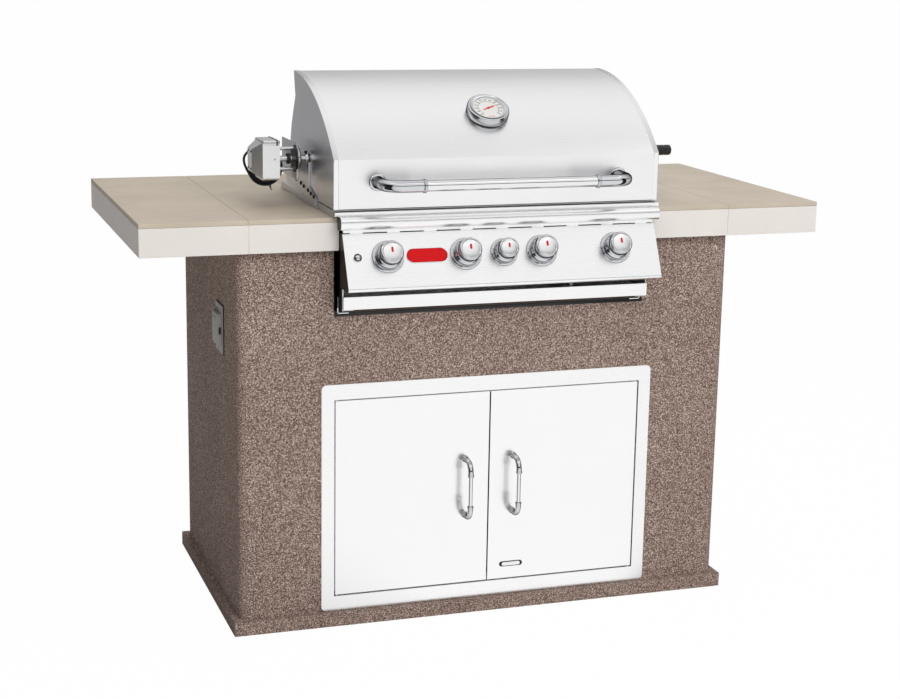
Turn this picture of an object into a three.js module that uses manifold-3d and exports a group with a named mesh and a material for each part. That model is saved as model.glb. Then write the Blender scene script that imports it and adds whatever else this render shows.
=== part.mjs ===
// An outdoor kitchen island: a stuccoed base with a tiled counter, a built-in gas grill with a
// hinged hood and a motor-driven spit, a pair of steel access doors and an outlet on its left side.
// Millimetres, +Z up, the front looks along -Y. The model is drawn with X = 0 in the middle of the
// doors, Y = 0 on the front stucco face and Z = 0 on the floor, and the group is then moved so that
// its origin lies under the middle of its box.
import * as THREE from "three";
import { mergeVertices } from "three/addons/utils/BufferGeometryUtils.js";
import Module from "manifold-3d";

const wasm = await Module();
wasm.setup();

// Fits shared by all pieces
const FIT = 0.3; // gap that resting and touching pieces keep
const OVERRUN = 5; // how far a cutter runs past what it cuts
const SHEET = 3; // folded steel sheet, both skins of a wall together
const SHEET_PAIR = SHEET + SHEET;

// Stuccoed base
const BASE_WIDTH = 1232;
const BASE_DEPTH = 667;
const BASE_HEIGHT = 915;
const WALL = 25; // stucco on cement board
const BASE_CORNER = 20;
const PLINTH_REACH = 16;
const PLINTH_CORNER = 4;
const PLINTH_HEIGHT = 34;
const STUD = 35; // square steel tube of the inner frames

// Tiled counter
const COUNTER_WIDTH = 1680;
const COUNTER_THICK = 76;
const FRONT_OVERHANG = 31;
const BACK_OVERHANG = 88;
const TILE = 10;
const GROUT = 3; // joint between two tiles
const GROUT_RECESS = 2;
const TILE_JOINT = 595; // from the middle to the joint in the top tiles

// Openings for the grill
const CUTOUT_WIDTH = 770; // in the counter
const CUTOUT_DEPTH = 400; // behind the front stucco face
const NOTCH_WIDTH = 778; // in the front wall
const NOTCH_DROP = 150; // below the top of the base

// Access doors
const FRAME_WIDTH = 838.2;
const FRAME_HEIGHT = 558.8;
const FRAME_BOTTOM = 35; // above the floor
const FRAME_CORNER = 12;
const FRAME_SIDE_BAND = 31.1;
const FRAME_END_BAND = 37;
const LINER_DEPTH = 45;
const STOP_REACH = 12; // the doors shut against a flange this wide
const DOOR_GAP = 3;
const DOOR_THICK = 18;
const DOOR_RETURN = 10; // solid edge round the pan of a door
const DOOR_PROUD = 2; // the doors stand this far out of the stucco face
const PIVOT_INSET = 5; // from the edge of the door to its hinge pin
const PIN_RADIUS = 2.5;
const PIN_BITE = 2.5; // how far a hinge pin enters the liner
const PULL_FROM_EDGE = 60;
const PULL_SPAN = 140;
const PULL_REACH = 44;
const PULL_BEND = 26;
const PULL_RADIUS = 6.5;
const PULL_BAR_RADIUS = 4.6;
const PULL_BAR_SPAN = 74;
const PULL_COLLAR_RADIUS = 7.6;
const PULL_COLLAR = 4;
const PULL_HEIGHT_SHARE = 0.51; // of the door, to the middle of the pull

// Outlet on the left wall
const OUTLET_DROP = 212; // from the top of the base down to its middle
const OUTLET_FROM_FRONT = 191;
const PLATE_WIDTH = 78;
const PLATE_HEIGHT = 115;
const PLATE_THICK = 4;
const POCKET_WIDTH = 52;
const POCKET_HEIGHT = 90;
const POCKET_DEPTH = 48;
const LID_WIDTH = 60;
const LID_HEIGHT = 74;
const LID_THICK = 10;
const LID_WALL = 2;
const KNUCKLE_RADIUS = 3;
const KNUCKLE_PIN_RADIUS = 1.2;
const KNUCKLE_PIN = 4;
const LUG_HEIGHT = 7;

// Grill body
const BODY_WIDTH = 760;
const CONTROL_DEPTH = 40; // the control box reaches this far in front of the stucco face
const FIREBOX_FRONT = 12; // behind the stucco face
const FIREBOX_DEPTH = 371;
const FIREBOX_FLOOR_DROP = 153; // below the counter top
const BODY_DROP = 215; // below the counter top
const CHEEK_RISE = 59; // above the counter top
const BACK_PANEL_RISE = 242; // above the counter top
const RIM_WIDTH = 800;
const RIM_HEIGHT = 17;
const RIM_FRONT = 32; // in front of the stucco face
const RIM_BACK = 480; // behind the stucco face
const DRAIN_WIDTH = 560;
const DRAIN_DEPTH = 70;
const LEDGE = 12; // width of the ledges that carry grates and burners
const TRAY_LEDGE = 24;
const GRATE_DROP = 22; // below the counter top, to the top of the grate ledges

// Hood
const HOOD_CLEARANCE = 2; // above the rim
const HOOD_FRONT = 37; // in front of the stucco face
const HOOD_DEPTH = 377;
const HOOD_FACE = 112; // height of the upright front face
const HOOD_RADIUS = 520; // of the rolled top
const HOOD_ARC_BACK = 350; // middle of the roll, behind the stucco face
const HOOD_SKIN = 4;
const PIVOT_BACK = 395; // hood pivot, behind the stucco face
const PIVOT_RISE = 64; // above the counter top
const PIVOT_RADIUS = 6;
const PIVOT_BOSS_RADIUS = 14;
const EAR_RADIUS = 43; // the hood's side panels round the pivot
const HOOD_ARC_STEPS = 22;
// Back edge of a side panel as shares of the hood's depth and height
const HOOD_BACK_EDGE_SHARES = [
  [0.981, 0.885],
  [0.96, 0.794],
  [1.005, 0.692],
  [1.066, 0.544],
  [1.101, 0.393],
];

// Hood handle
const HANDLE_HALF = 297; // from the middle to each leg
const HANDLE_RISE = 60; // above the lower edge of the hood
const HANDLE_REACH = 80;
const HANDLE_BEND = 42;
const ELBOW_RADIUS = 14;
const ELBOW_COLLAR_RADIUS = 16;
const ELBOW_COLLAR = 6;
const ELBOW_BASE_RADIUS = 20;
const ELBOW_BASE = 4;
const BAR_RADIUS = 12.5;
const BAR_HALF = 207;

// Thermometer
const DIAL_RADIUS = 51;
const DIAL_DEPTH = 21;
const DIAL_RECESS = 3;
const DIAL_RING = 7;
const DIAL_STEM_RADIUS = 5;
const DIAL_STEM = 45;
const DIAL_LEAN_SHARE = 0.545; // of the roll's radius, from its middle to the dial's foot

// Front rail
const LIP_REACH = 49; // in front of the stucco face
const LIP_HEIGHT = 9;
const NOSE_REACH = 75; // in front of the stucco face
const NOSE_WIDTH = 784;
const NOSE_HEIGHT = 30;
const NOSE_ROUND = 12;

// Control panel
const PANEL_WIDTH = 770;
const PANEL_TOP_DROP = 34; // below the counter top
const PANEL_HEIGHT = 115;
const PANEL_TOP_REACH = 57; // in front of the stucco face
const PANEL_FOOT_REACH = 114;
const PANEL_ROLL = 7;
const PANEL_ROLL_STEPS = 4;

// Knobs, ignition button and gas train
const KNOB_STEP = 187; // between the middles of the four large knobs
const KNOB_SHIFT = 4; // the row of knobs sits this far left of the middle
const KNOB_HEIGHT_SHARE = 0.557; // of the panel, above its foot
const KNOB_RADIUS = 27;
const SMALL_KNOB_SHARE = 0.87; // of the large knob
const KNOB_DEPTH = 38;
const KNOB_LIFT = 4; // the knob stands this far off its panel
const BEZEL_RADIUS = 37.5;
const BEZEL_HEIGHT = 3;
const BEZEL_WIDTH = 5;
const STEM_RADIUS = 4;
const BUTTON_FROM_MIDDLE = 356;
const BUTTON_RADIUS = 7;
const BUTTON_HEAD = 5;
const BUTTON_TRAVEL = 3;
const BUTTON_BEZEL = 3;
const VALVE_DEPTH = 66; // from the panel to the middle of the gas pipe
const VALVE_SIZE = 26;
const PIPE_RADIUS = 11;
const BURNER_WIDTH = 60;
const BURNER_HEIGHT = 24;
const BURNER_PIPE_RADIUS = 10;
const BURNER_BACK_GAP = 6; // to the back wall
const VENTURI = 42; // straight pipe in front of the burner head
const INLET = 70; // length of the gas inlet under the pipe
const REAR_BURNER_WIDTH = 400;
const REAR_BURNER_HEIGHT = 76;
const REAR_BURNER_DEPTH = 14;
const REAR_BURNER_DROP = 6; // below the counter top, to its lower edge

// Grates and rack
const GRATE_BAR = 8;
const GRATE_BARS = 12;
const GRATE_TIE = 5; // height of the cross bars inside the bars
const GRATE_SIDE_GAP = 6;
const RACK_DEPTH = 110;
const RACK_RISE = 90; // above the counter top
const RACK_BAR = 6;
const RACK_BARS = 6;
const RACK_TIE = 4; // height of the cross bars inside the bars
const RACK_WIDTH = 700;
const RACK_ARM = 8;
const RACK_ARM_FROM_MIDDLE = 300;
const RACK_ARM_BACK_GAP = 4;

// Grease tray
const TRAY_SIDE_GAP = 5;
const TRAY_DEPTH = 386;
const TRAY_HEIGHT = 20;
const TRAY_SHEET = 2;
const TRAY_FACE_HEIGHT = 30;
const TRAY_FACE_WIDTH = 758;
const TRAY_FACE_THICK = 6;

// Spit
const SPIT_BACK = 190; // behind the stucco face
const SPIT_RISE = 110; // above the counter top
const SPIT_RADIUS = 4.5;
const SPIT_SLOT = 24; // width of the slots in the hood's sides
const SPIT_LEFT = 474; // from the middle to the end in the motor
const SPIT_RIGHT = 452;
const GRIP_LENGTH = 86;
const GRIP_RADIUS = 13;
const GRIP_NECK_RADIUS = 9;
const GRIP_BITE = 30; // the rod enters the grip this far
const COLLAR_RADIUS = 10;
const COLLAR_WIDTH = 8;
const FORK_FROM_MIDDLE = 170;
const FORK_HUB_RADIUS = 10;
const FORK_HUB = 22;
const FORK_REACH = 32;
const FORK_BAR = 6;
const FORK_TINE = 95;
const BRACKET_STANDOFF = 0.6; // outside the rim
const BRACKET_SCREW_RADIUS = 4;
const BRACKET_WIDTH = 60; // of the right-hand plate
const BRACKET_TOP_GAP = 9; // of the right-hand plate, above the rod's middle
const PLATE_BACK = 315; // rear edge of the left-hand plate, behind the stucco face
const PLATE_FRONT = 180;
const PLATE_FOOT_FRONT = 105;
const PLATE_FOOT_HEIGHT = 45;
const PLATE_TOP_DROP = 4; // below the rod's middle, besides its radius
const MOTOR_PLATE_GAP = 26; // outside the left-hand plate
const MOTOR_PLATE_BACK = 330;
const MOTOR_PLATE_RISE = 36; // above the rod's middle
const MOTOR_PLATE_DROP = 50;
const DRIVE_DISC_RADIUS = 24.5;

// Spit motor
const MOTOR_GAP = 47; // from its face to the bracket
const MOTOR_LENGTH = 41;
const MOTOR_CAP = 22;
const MOTOR_WIDTH = 84;
const MOTOR_HEIGHT = 91;
const MOTOR_CAP_WIDTH = 44;
const MOTOR_CAP_HEIGHT = 52;
const MOTOR_EDGE = 6;
const SOCKET_RADIUS = 6.5;
const STANDOFF_RADIUS = 4;
const STANDOFF_RISE = 24; // above and below the socket
const RELIEF_RADIUS = 6;
const RELIEF_LENGTH = 9;

// Motor cord
const CORD_RADIUS = 3;
const COIL_RADIUS = 41; // middle of the cord in the outer loop
const COIL_PITCH = 6.9; // from loop to loop and from layer to layer
const COIL_TURNS = 4.5;
const COIL_LEFT = 488.5; // middle of the coil, from the middle of the island
const COIL_RISE = 79; // middle of the coil above the counter top
const COIL_START = (7 / 6) * Math.PI; // angle at which the cord joins the coil
const COIL_LOOP_STEPS = 24;
const CORD_SIDES = 6;
const LEAD_BEND = 15;
const LEAD_LEAN = (7 / 6) * Math.PI; // direction of the lead when it has left the motor
const LEAD_BULGE = 32; // how far the lead swings out on its way to the coil
const GLAND_LEFT = 512; // middle of the strain relief, from the middle of the island
const GLAND_RISE = 131; // middle of the strain relief above the counter top
const PLUG_RADIUS = 10;
const PLUG_LENGTH = 26;
const PLUG_NECK = 8;
const PLUG_NECK_RADIUS = 5;
const PRONG_LENGTH = 15;
const PRONG_GAP = 12;
const PRONG_WIDTH = 6;
const PRONG_THICK = 1.6;

// Facets
const ROUND = 24;
const SMALL_ROUND = 12;
const CORNER_STEPS = 5;

// Finishes
const STUCCO = { color: 0x97857a, roughness: 0.95, metalness: 0 };
const TOP_TILE = { color: 0xc4b6a3, roughness: 0.6, metalness: 0 };
const EDGE_TILE = { color: 0xe3dbd4, roughness: 0.6, metalness: 0 };
const DECK = { color: 0xa9a49c, roughness: 0.9, metalness: 0 };
const GALVANISED = { color: 0x9fa3a6, roughness: 0.5, metalness: 1 };
const BRUSHED = { color: 0xd8d9da, roughness: 0.35, metalness: 1 };
const CHROME = { color: 0xe8e8ea, roughness: 0.08, metalness: 1 };
const DARK_STEEL = { color: 0x3a3a3c, roughness: 0.5, metalness: 1 };
const GREY_PLASTIC = { color: 0x8d8f8c, roughness: 0.5, metalness: 0 };
const BLACK_PLASTIC = { color: 0x151515, roughness: 0.4, metalness: 0 };
const BLACK_RUBBER = { color: 0x101010, roughness: 0.6, metalness: 0 };

// Places worked out from the sizes
const baseHalf = BASE_WIDTH / 2;
const counterHalf = COUNTER_WIDTH / 2;
const cutoutHalf = CUTOUT_WIDTH / 2;
const notchHalf = NOTCH_WIDTH / 2;
const bodyHalf = BODY_WIDTH / 2;
const rimHalf = RIM_WIDTH / 2;
const counterTop = BASE_HEIGHT + COUNTER_THICK;
const outletHeight = BASE_HEIGHT - OUTLET_DROP;
const counterBack = BASE_DEPTH + BACK_OVERHANG;
const rimFoot = counterTop + FIT;
const rimTop = rimFoot + RIM_HEIGHT;
const fireboxBack = FIREBOX_FRONT + FIREBOX_DEPTH;
const fireboxFloor = counterTop - FIREBOX_FLOOR_DROP;
const bodyFoot = counterTop - BODY_DROP;
const hoodFoot = rimTop + HOOD_CLEARANCE;
const hoodCrease = hoodFoot + HOOD_FACE;
const roll = new THREE.Vector2(
  HOOD_ARC_BACK,
  hoodCrease - Math.sqrt(HOOD_RADIUS ** 2 - (HOOD_ARC_BACK + HOOD_FRONT) ** 2),
);
const hoodBack = HOOD_DEPTH - HOOD_FRONT;
const pivot = new THREE.Vector2(PIVOT_BACK, counterTop + PIVOT_RISE);
const spit = new THREE.Vector2(SPIT_BACK, counterTop + SPIT_RISE);
const panelTop = new THREE.Vector2(-PANEL_TOP_REACH, counterTop - PANEL_TOP_DROP);
const panelFoot = new THREE.Vector2(-PANEL_FOOT_REACH, panelTop.y - PANEL_HEIGHT);
const panelRun = new THREE.Vector2().subVectors(panelTop, panelFoot).normalize();
const panelOut = new THREE.Vector2(-panelRun.y, panelRun.x); // out of the panel's face
const controlFront = -CONTROL_DEPTH - FIT;

const island = new THREE.Group();

// A closed geometry as a solid that can be joined and cut.
function solid(geometry) {
  const plain = geometry.clone();
  plain.deleteAttribute("normal");
  plain.deleteAttribute("uv");
  const merged = mergeVertices(plain);
  return new wasm.Manifold(
    new wasm.Mesh({
      numProp: 3,
      vertProperties: new Float32Array(merged.attributes.position.array),
      triVerts: new Uint32Array(merged.index.array),
    }),
  );
}

// Adds the solid to the island as one named mesh.
function add(name, body, finish) {
  const made = body.getMesh();
  const geometry = new THREE.BufferGeometry();
  geometry.setAttribute("position", new THREE.BufferAttribute(made.vertProperties, 3));
  geometry.setIndex(new THREE.BufferAttribute(made.triVerts, 1));
  geometry.computeVertexNormals();
  const mesh = new THREE.Mesh(geometry, new THREE.MeshStandardMaterial(finish));
  mesh.name = name;
  island.add(mesh);
  return mesh;
}

const join = (first, ...others) => others.reduce((whole, next) => whole.add(next), first);
const cut = (first, ...others) => others.reduce((whole, next) => whole.subtract(next), first);

// A box from its limits along X, Y and Z.
function box(x, y, z) {
  const [width, depth, height] = [x, y, z].map(([low, high]) => high - low);
  const geometry = new THREE.BoxGeometry(width, depth, height);
  geometry.translate(x[0] + width / 2, y[0] + depth / 2, z[0] + height / 2);
  return solid(geometry);
}

const band = (middle, size) => [middle - size / 2, middle + size / 2];
const across = (half) => [-half, half];

// An outline extruded from low to high along the third axis of the given frame.
function extrude(outline, low, high, right, up) {
  const geometry = new THREE.ExtrudeGeometry(new THREE.Shape(outline), {
    depth: high - low,
    bevelEnabled: false,
  });
  geometry.translate(0, 0, low);
  const along = new THREE.Vector3().crossVectors(right, up);
  geometry.applyMatrix4(new THREE.Matrix4().makeBasis(right, up, along));
  return solid(geometry);
}

const X = new THREE.Vector3(1, 0, 0);
const Y = new THREE.Vector3(0, 1, 0);
const Z = new THREE.Vector3(0, 0, 1);
const alongX = (outline, [low, high]) => extrude(outline, low, high, Y, Z);
const alongZ = (outline, [low, high]) => extrude(outline, low, high, X, Y);
const alongY = (outline, [low, high]) => extrude(outline, -high, -low, X, Z);

// A cylinder between two points.
function rod(from, to, radius, sides = ROUND, endRadius = radius) {
  const run = new THREE.Vector3().subVectors(to, from);
  const geometry = new THREE.CylinderGeometry(endRadius, radius, run.length(), sides);
  geometry.applyQuaternion(new THREE.Quaternion().setFromUnitVectors(Y, run.clone().normalize()));
  geometry.translate(...from.clone().addScaledVector(run, 1 / 2).toArray());
  return solid(geometry);
}

const at = (x, y, z) => new THREE.Vector3(x, y, z);
const rodX = ([low, high], middle, radius, sides) =>
  rod(at(low, middle.x, middle.y), at(high, middle.x, middle.y), radius, sides);
const rodZ = ([low, high], x, y, radius, sides) => rod(at(x, y, low), at(x, y, high), radius, sides);

// A turned piece: profile points are (radius, distance along the axis) from the foot.
function turned(profile, foot, axis, sides = ROUND) {
  const geometry = new THREE.LatheGeometry(
    profile.map(([radius, along]) => new THREE.Vector2(radius, along)),
    sides,
  );
  geometry.applyQuaternion(new THREE.Quaternion().setFromUnitVectors(Y, axis));
  geometry.translate(foot.x, foot.y, foot.z);
  return solid(geometry);
}

// A tube of the given radius along a curve.
function tube(path, radius, steps, sides = SMALL_ROUND) {
  const section = Array.from({ length: sides }, (_, i) => {
    const angle = (2 * Math.PI * i) / sides;
    return new THREE.Vector2(radius * Math.cos(angle), radius * Math.sin(angle));
  });
  return solid(
    new THREE.ExtrudeGeometry(new THREE.Shape(section), {
      steps,
      bevelEnabled: false,
      extrudePath: path,
    }),
  );
}

// Points on a circular arc, both ends included.
function arc(middle, radius, from, to, steps) {
  return Array.from({ length: steps + 1 }, (_, i) => {
    const angle = from + ((to - from) * i) / steps;
    return new THREE.Vector2(
      middle.x + radius * Math.cos(angle),
      middle.y + radius * Math.sin(angle),
    );
  });
}

// A rectangle with round corners, given by its limits.
function roundedRectangle([left, right], [low, high], radius, steps = CORNER_STEPS) {
  const corners = [
    [right - radius, high - radius],
    [left + radius, high - radius],
    [left + radius, low + radius],
    [right - radius, low + radius],
  ];
  return corners.flatMap(([x, y], i) =>
    arc(new THREE.Vector2(x, y), radius, (i * Math.PI) / 2, ((i + 1) * Math.PI) / 2, steps),
  );
}

// The closed outline of a sheet whose outer face follows the points, with the sheet on their left.
function sheetOutline(points, thickness) {
  const normals = points.slice(1).map((point, i) => {
    const run = new THREE.Vector2().subVectors(point, points[i]).normalize();
    return new THREE.Vector2(-run.y, run.x);
  });
  const inner = points.map((point, i) => {
    const before = normals[Math.max(i - 1, 0)];
    const after = normals[Math.min(i, normals.length - 1)];
    const mitre = before.clone().add(after).normalize();
    return point.clone().addScaledVector(mitre, thickness / mitre.dot(before));
  });
  return [...points, ...inner.reverse()];
}

// A path of straight runs whose corners are rounded with the given radius.
function bentPath(points, radius) {
  const path = new THREE.CurvePath();
  let last = points[0];
  points.slice(1, -1).forEach((corner, i) => {
    const back = new THREE.Vector3().subVectors(points[i], corner).normalize();
    const ahead = new THREE.Vector3().subVectors(points[i + 2], corner).normalize();
    const enter = corner.clone().addScaledVector(back, radius);
    const leave = corner.clone().addScaledVector(ahead, radius);
    path.add(new THREE.LineCurve3(last, enter));
    path.add(new THREE.QuadraticBezierCurve3(enter, corner, leave));
    last = leave;
  });
  path.add(new THREE.LineCurve3(last, points[points.length - 1]));
  return path;
}

// Base: four stuccoed walls with their plinth
const doorwayHalf = FRAME_WIDTH / 2 - FRAME_SIDE_BAND;
const doorwayZ = [FRAME_BOTTOM + FRAME_END_BAND, FRAME_BOTTOM + FRAME_HEIGHT - FRAME_END_BAND];
const linerOut = SHEET;
const pocketY = band(OUTLET_FROM_FRONT, POCKET_WIDTH);
const pocketZ = band(outletHeight, POCKET_HEIGHT);

// Plan of a front wall with round outer corners, pushed out on its three outer sides.
function wallPlan(push, radius) {
  const half = baseHalf + push;
  const left = new THREE.Vector2(-half + radius, radius - push);
  const right = new THREE.Vector2(half - radius, radius - push);
  return [
    new THREE.Vector2(half, WALL),
    new THREE.Vector2(-half, WALL),
    ...arc(left, radius, Math.PI, 1.5 * Math.PI, CORNER_STEPS),
    ...arc(right, radius, 1.5 * Math.PI, 2 * Math.PI, CORNER_STEPS),
  ];
}

function buildBase() {
  const shell = join(
    alongZ(wallPlan(0, BASE_CORNER), [0, BASE_HEIGHT]),
    alongZ(wallPlan(PLINTH_REACH, PLINTH_CORNER), [0, PLINTH_HEIGHT]),
  );
  const through = [-OVERRUN, WALL + OVERRUN];
  const notch = box(
    across(notchHalf),
    through,
    [BASE_HEIGHT - NOTCH_DROP, BASE_HEIGHT + OVERRUN],
  );
  const reach = linerOut + FIT;
  const doorway = box(
    across(doorwayHalf + reach),
    through,
    [doorwayZ[0] - reach, doorwayZ[1] + reach],
  );
  add("stucco_wall_front", cut(shell, notch, doorway), STUCCO);
  const back = shell.rotate([0, 0, 180]).translate([0, BASE_DEPTH, 0]);
  add("stucco_wall_back", back, STUCCO);

  const sideY = [WALL + FIT, BASE_DEPTH - WALL - FIT];
  for (const [side, sign] of [["left", -1], ["right", 1]]) {
    const inner = sign * (baseHalf - WALL);
    const sorted = (a, b) => [Math.min(a, b), Math.max(a, b)];
    let wall = join(
      box(sorted(inner, sign * baseHalf), sideY, [0, BASE_HEIGHT]),
      box(sorted(inner, sign * (baseHalf + PLINTH_REACH)), sideY, [0, PLINTH_HEIGHT]),
    );
    if (side === "left")
      wall = cut(
        wall,
        box(
          [-baseHalf - OVERRUN, inner + OVERRUN],
          [pocketY[0] - FIT, pocketY[1] + FIT],
          [pocketZ[0] - FIT, pocketZ[1] + FIT],
        ),
      );
    add(`stucco_wall_${side}`, wall, STUCCO);

    const near = inner - sign * FIT;
    const frameX = sorted(near, near - sign * STUD);
    const ring = cut(
      box(frameX, sideY, [0, BASE_HEIGHT - FIT]),
      box(
        [frameX[0] - OVERRUN, frameX[1] + OVERRUN],
        [sideY[0] + STUD, sideY[1] - STUD],
        [STUD, BASE_HEIGHT - FIT - STUD],
      ),
    );
    add(`side_frame_${side}`, ring, GALVANISED);

    const rail = sorted(sign * (notchHalf + FIT), sign * (notchHalf + FIT + STUD));
    const railZ = [BASE_HEIGHT - FIT - STUD, BASE_HEIGHT - FIT];
    add(`support_rail_${side}`, box(rail, sideY, railZ), GALVANISED);
  }
}

// Counter: a deck with edge tiles round it and top tiles over both
function buildCounter() {
  const outerY = [-FRONT_OVERHANG, counterBack];
  const under = counterTop - TILE - FIT;
  const inset = TILE + FIT;
  const deck = cut(
    box(
      across(counterHalf - inset),
      [outerY[0] + inset, outerY[1] - inset],
      [BASE_HEIGHT + FIT, under],
    ),
    box(
      across(cutoutHalf),
      [outerY[0], CUTOUT_DEPTH],
      [BASE_HEIGHT - OVERRUN, counterTop],
    ),
  );
  add("counter_deck", deck, DECK);

  const topZ = [counterTop - TILE, counterTop];
  const outer = [TILE_JOINT + GROUT / 2, counterHalf];
  const inner = [cutoutHalf, TILE_JOINT - GROUT / 2];
  const mirrored = ([low, high]) => [-high, -low];
  add("top_tile_outer_left", box(mirrored(outer), outerY, topZ), TOP_TILE);
  add("top_tile_inner_left", box(mirrored(inner), outerY, topZ), TOP_TILE);
  add("top_tile_inner_right", box(inner, outerY, topZ), TOP_TILE);
  add("top_tile_outer_right", box(outer, outerY, topZ), TOP_TILE);
  add(
    "top_tile_back",
    box(across(cutoutHalf - GROUT), [CUTOUT_DEPTH, counterBack], topZ),
    TOP_TILE,
  );

  const edgeZ = [BASE_HEIGHT + FIT, under];
  const frontY = [outerY[0], outerY[0] + TILE];
  const groove = box(
    band(TILE_JOINT, GROUT),
    [frontY[0] - OVERRUN, frontY[0] + GROUT_RECESS],
    [edgeZ[0] - OVERRUN, edgeZ[1] + OVERRUN],
  );
  const frontRight = cut(box([cutoutHalf, counterHalf], frontY, edgeZ), groove);
  add("edge_tile_front_right", frontRight, EDGE_TILE);
  add("edge_tile_front_left", frontRight.mirror([1, 0, 0]), EDGE_TILE);
  const sideY = [frontY[1] + FIT, counterBack - inset];
  add("edge_tile_left", box([-counterHalf, TILE - counterHalf], sideY, edgeZ), EDGE_TILE);
  add("edge_tile_right", box([counterHalf - TILE, counterHalf], sideY, edgeZ), EDGE_TILE);
  add(
    "edge_tile_back",
    box(across(counterHalf), [counterBack - TILE, counterBack], edgeZ),
    EDGE_TILE,
  );
}

// An arched pull on a flat face: two elbows and a slimmer bar between two collars
function pull(middle, out, along, sizes) {
  const foot = (sign) => middle.clone().addScaledVector(along, (sign * sizes.span) / 2);
  const pieces = [];
  for (const sign of [-1, 1]) {
    const end = middle
      .clone()
      .addScaledVector(out, sizes.reach)
      .addScaledVector(along, (sign * sizes.bar) / 2);
    const corner = foot(sign).addScaledVector(out, sizes.reach);
    pieces.push(tube(bentPath([foot(sign), corner, end], sizes.bend), sizes.radius, 11, 10));
    const collar = end.clone().addScaledVector(along, sign * sizes.collar);
    pieces.push(rod(end, collar, sizes.collarRadius, SMALL_ROUND));
  }
  const low = middle.clone().addScaledVector(out, sizes.reach);
  pieces.push(
    rod(
      low.clone().addScaledVector(along, -sizes.bar / 2 - sizes.collar / 2),
      low.clone().addScaledVector(along, sizes.bar / 2 + sizes.collar / 2),
      sizes.barRadius,
      SMALL_ROUND,
    ),
  );
  return join(...pieces);
}

// Access doors: a frame with its liner and two doors that turn on pins at their outer edges
function buildDoors() {
  const frameZ = [FRAME_BOTTOM, FRAME_BOTTOM + FRAME_HEIGHT];
  const faceY = [-FIT - SHEET, -FIT];
  const doorFace = -DOOR_PROUD;
  const doorBack = doorFace + DOOR_THICK;
  const pinY = PIN_RADIUS + FIT;
  const face = alongY(roundedRectangle(across(FRAME_WIDTH / 2), frameZ, FRAME_CORNER), faceY);
  const liner = box(
    across(doorwayHalf + linerOut),
    [faceY[1] - SHEET / 2, LINER_DEPTH],
    [doorwayZ[0] - linerOut, doorwayZ[1] + linerOut],
  );
  const stopY = [doorBack + DOOR_GAP / 2, doorBack + DOOR_GAP / 2 + SHEET];
  const open = (inset, y) =>
    box(across(doorwayHalf - inset), y, [doorwayZ[0] + inset, doorwayZ[1] - inset]);
  const pinHoles = [-1, 1].map((sign) =>
    rodZ(
      [doorwayZ[0] - SHEET - OVERRUN, doorwayZ[1] + SHEET + OVERRUN],
      sign * (doorwayHalf - DOOR_GAP - PIVOT_INSET),
      pinY,
      PIN_RADIUS + FIT,
      SMALL_ROUND,
    ),
  );
  const frame = cut(
    join(face, liner),
    open(0, [faceY[0] - OVERRUN, stopY[0]]),
    open(STOP_REACH, [0, stopY[1] + OVERRUN]),
    open(0, [stopY[1], LINER_DEPTH + OVERRUN]),
    ...pinHoles,
  );
  add("door_frame", frame, BRUSHED);

  const doorZ = [doorwayZ[0] + DOOR_GAP, doorwayZ[1] - DOOR_GAP];
  const doorX = [DOOR_GAP / 2, doorwayHalf - DOOR_GAP];
  const pinReach = DOOR_GAP + PIN_BITE;
  const pan = cut(
    box(doorX, [doorFace, doorBack], doorZ),
    box(
      [doorX[0] + DOOR_RETURN, doorX[1] - DOOR_RETURN],
      [doorFace + SHEET, doorBack + OVERRUN],
      [doorZ[0] + DOOR_RETURN, doorZ[1] - DOOR_RETURN],
    ),
  );
  const door = join(
    pan,
    rodZ(
      [doorZ[0] - pinReach, doorZ[1] + pinReach],
      doorX[1] - PIVOT_INSET,
      pinY,
      PIN_RADIUS,
      SMALL_ROUND,
    ),
  );
  add("door_right", door, BRUSHED);
  add("door_left", door.mirror([1, 0, 0]), BRUSHED);

  const pullHeight = doorZ[0] + PULL_HEIGHT_SHARE * (doorZ[1] - doorZ[0]);
  for (const [side, sign] of [["left", -1], ["right", 1]]) {
    const middle = at(sign * (doorX[0] + PULL_FROM_EDGE), doorFace - FIT, pullHeight);
    const made = pull(middle, Y.clone().negate(), Z, {
      span: PULL_SPAN,
      reach: PULL_REACH,
      bend: PULL_BEND,
      radius: PULL_RADIUS,
      bar: PULL_BAR_SPAN,
      barRadius: PULL_BAR_RADIUS,
      collar: PULL_COLLAR,
      collarRadius: PULL_COLLAR_RADIUS,
    });
    add(`door_handle_${side}`, made, CHROME);
  }
}

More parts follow.
